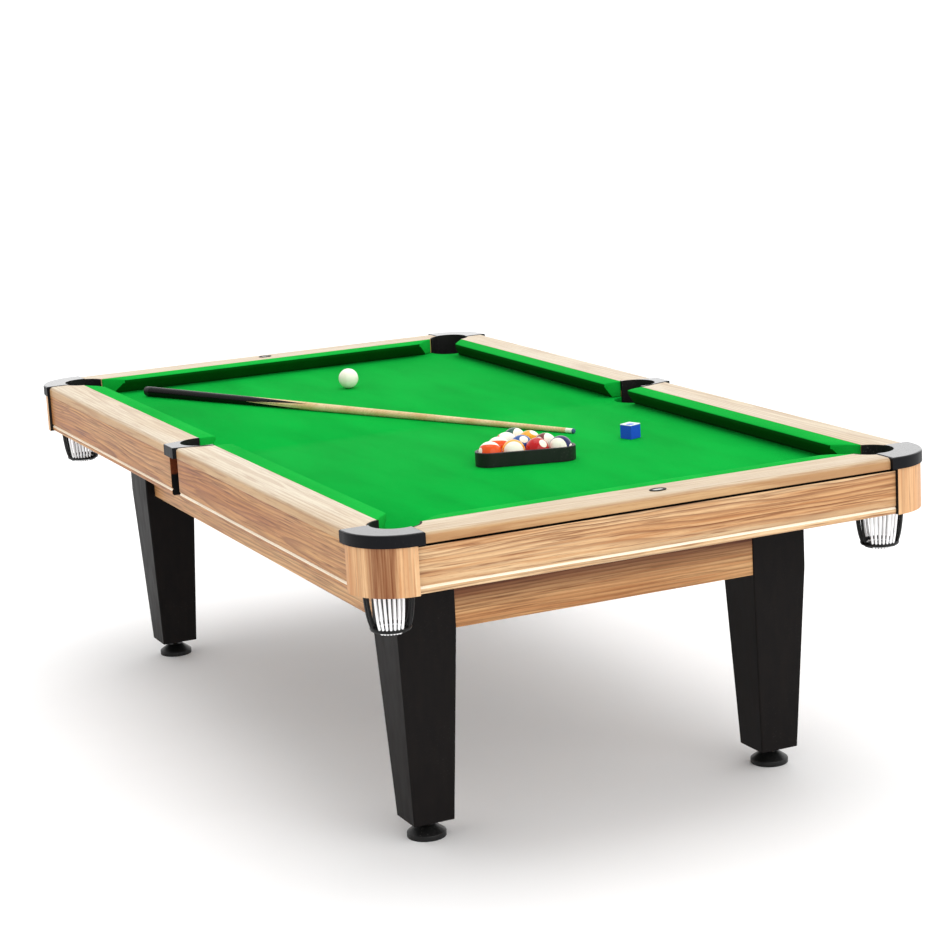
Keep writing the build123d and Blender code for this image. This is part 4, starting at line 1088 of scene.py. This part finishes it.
# %% Floor
FLOOR_REACH = 150.0
corners = [(sx * FLOOR_REACH, sy * FLOOR_REACH, 0) for sx, sy in ((-1, -1), (1, -1), (1, 1), (-1, 1))]
floor_mesh = bpy.data.meshes.new("studio_floor")
floor_mesh.from_pydata(corners, [], [(0, 1, 2, 3)])
floor_pale, tree, shader = new_finish("floor_pale", Roughness=0.9, shine=0.1)
even = level(noise(object_place(tree), 3, 2), 0.3, 0.7)
put(shader["Base Color"], blend(even, tint(252, 252, 252), tint(254, 254, 254)))
floor = new_piece("studio_floor", floor_mesh, floor_pale)

# %% Light
GLOW, GLOW_CHANGE = 1.15, (0.34, 0.26, -0.12)    # the sky's strength, and its change to right, back and top
scene = bpy.context.scene
scene.view_settings.view_transform = "Standard"
world = bpy.data.worlds.new("studio")
world.use_nodes = True
scene.world = world
tree = world.node_tree
tree.nodes.clear()
glow = GLOW
for way, change in zip(split(add(tree, "ShaderNodeTexCoord").outputs["Generated"]), GLOW_CHANGE):
    glow = maths("MULTIPLY_ADD", way, change, glow)
seen = add(tree, "ShaderNodeLightPath").outputs["Is Camera Ray"]
strength = maths("MAXIMUM", glow, seen)
sky = add(tree, "ShaderNodeBackground", {"Color": (1, 1, 1, 1), "Strength": strength})
add(tree, "ShaderNodeOutputWorld", {"Surface": sky.outputs[0]})


def soft_sun(name, strength, angle, towards):
    lamp = bpy.data.lights.new(name, "SUN")
    lamp.energy, lamp.angle = strength, radians(angle)
    holder = bpy.data.objects.new(name, lamp)
    holder.rotation_euler = Vector(towards).to_track_quat("-Z", "Y").to_euler()
    scene.collection.objects.link(holder)


soft_sun("overhead", 0.72, 50, (-0.04, -0.12, -1.0))
soft_sun("from_the_front", 0.9, 60, (-0.15, 1.0, -0.40))


# %% Camera
CAMERA_PLACE, CAMERA_TURNS, LENS = (-2.4324, -5.5713, 1.8812), (24.7, -11.8, -3.1), 89.5


def aimed(place, yaw, pitch, roll):
    """A camera matrix from a place and three turns in degrees. Yaw 0 looks along +Y."""
    yaw, pitch, roll = (radians(turn) for turn in (yaw, pitch, roll))
    ahead = Vector((sin(yaw) * cos(pitch), cos(yaw) * cos(pitch), sin(pitch)))
    right = Vector((cos(yaw), -sin(yaw), 0))
    up = right.cross(ahead)
    right, up = cos(roll) * right + sin(roll) * up, cos(roll) * up - sin(roll) * right
    return Matrix.Translation(place) @ Matrix((right, up, -ahead)).transposed().to_4x4()


camera = bpy.data.objects.new("camera", bpy.data.cameras.new("camera"))
camera.data.lens = LENS
camera.data.clip_end = 500
camera.matrix_world = aimed(CAMERA_PLACE, *CAMERA_TURNS)
scene.collection.objects.link(camera)
scene.camera = camera
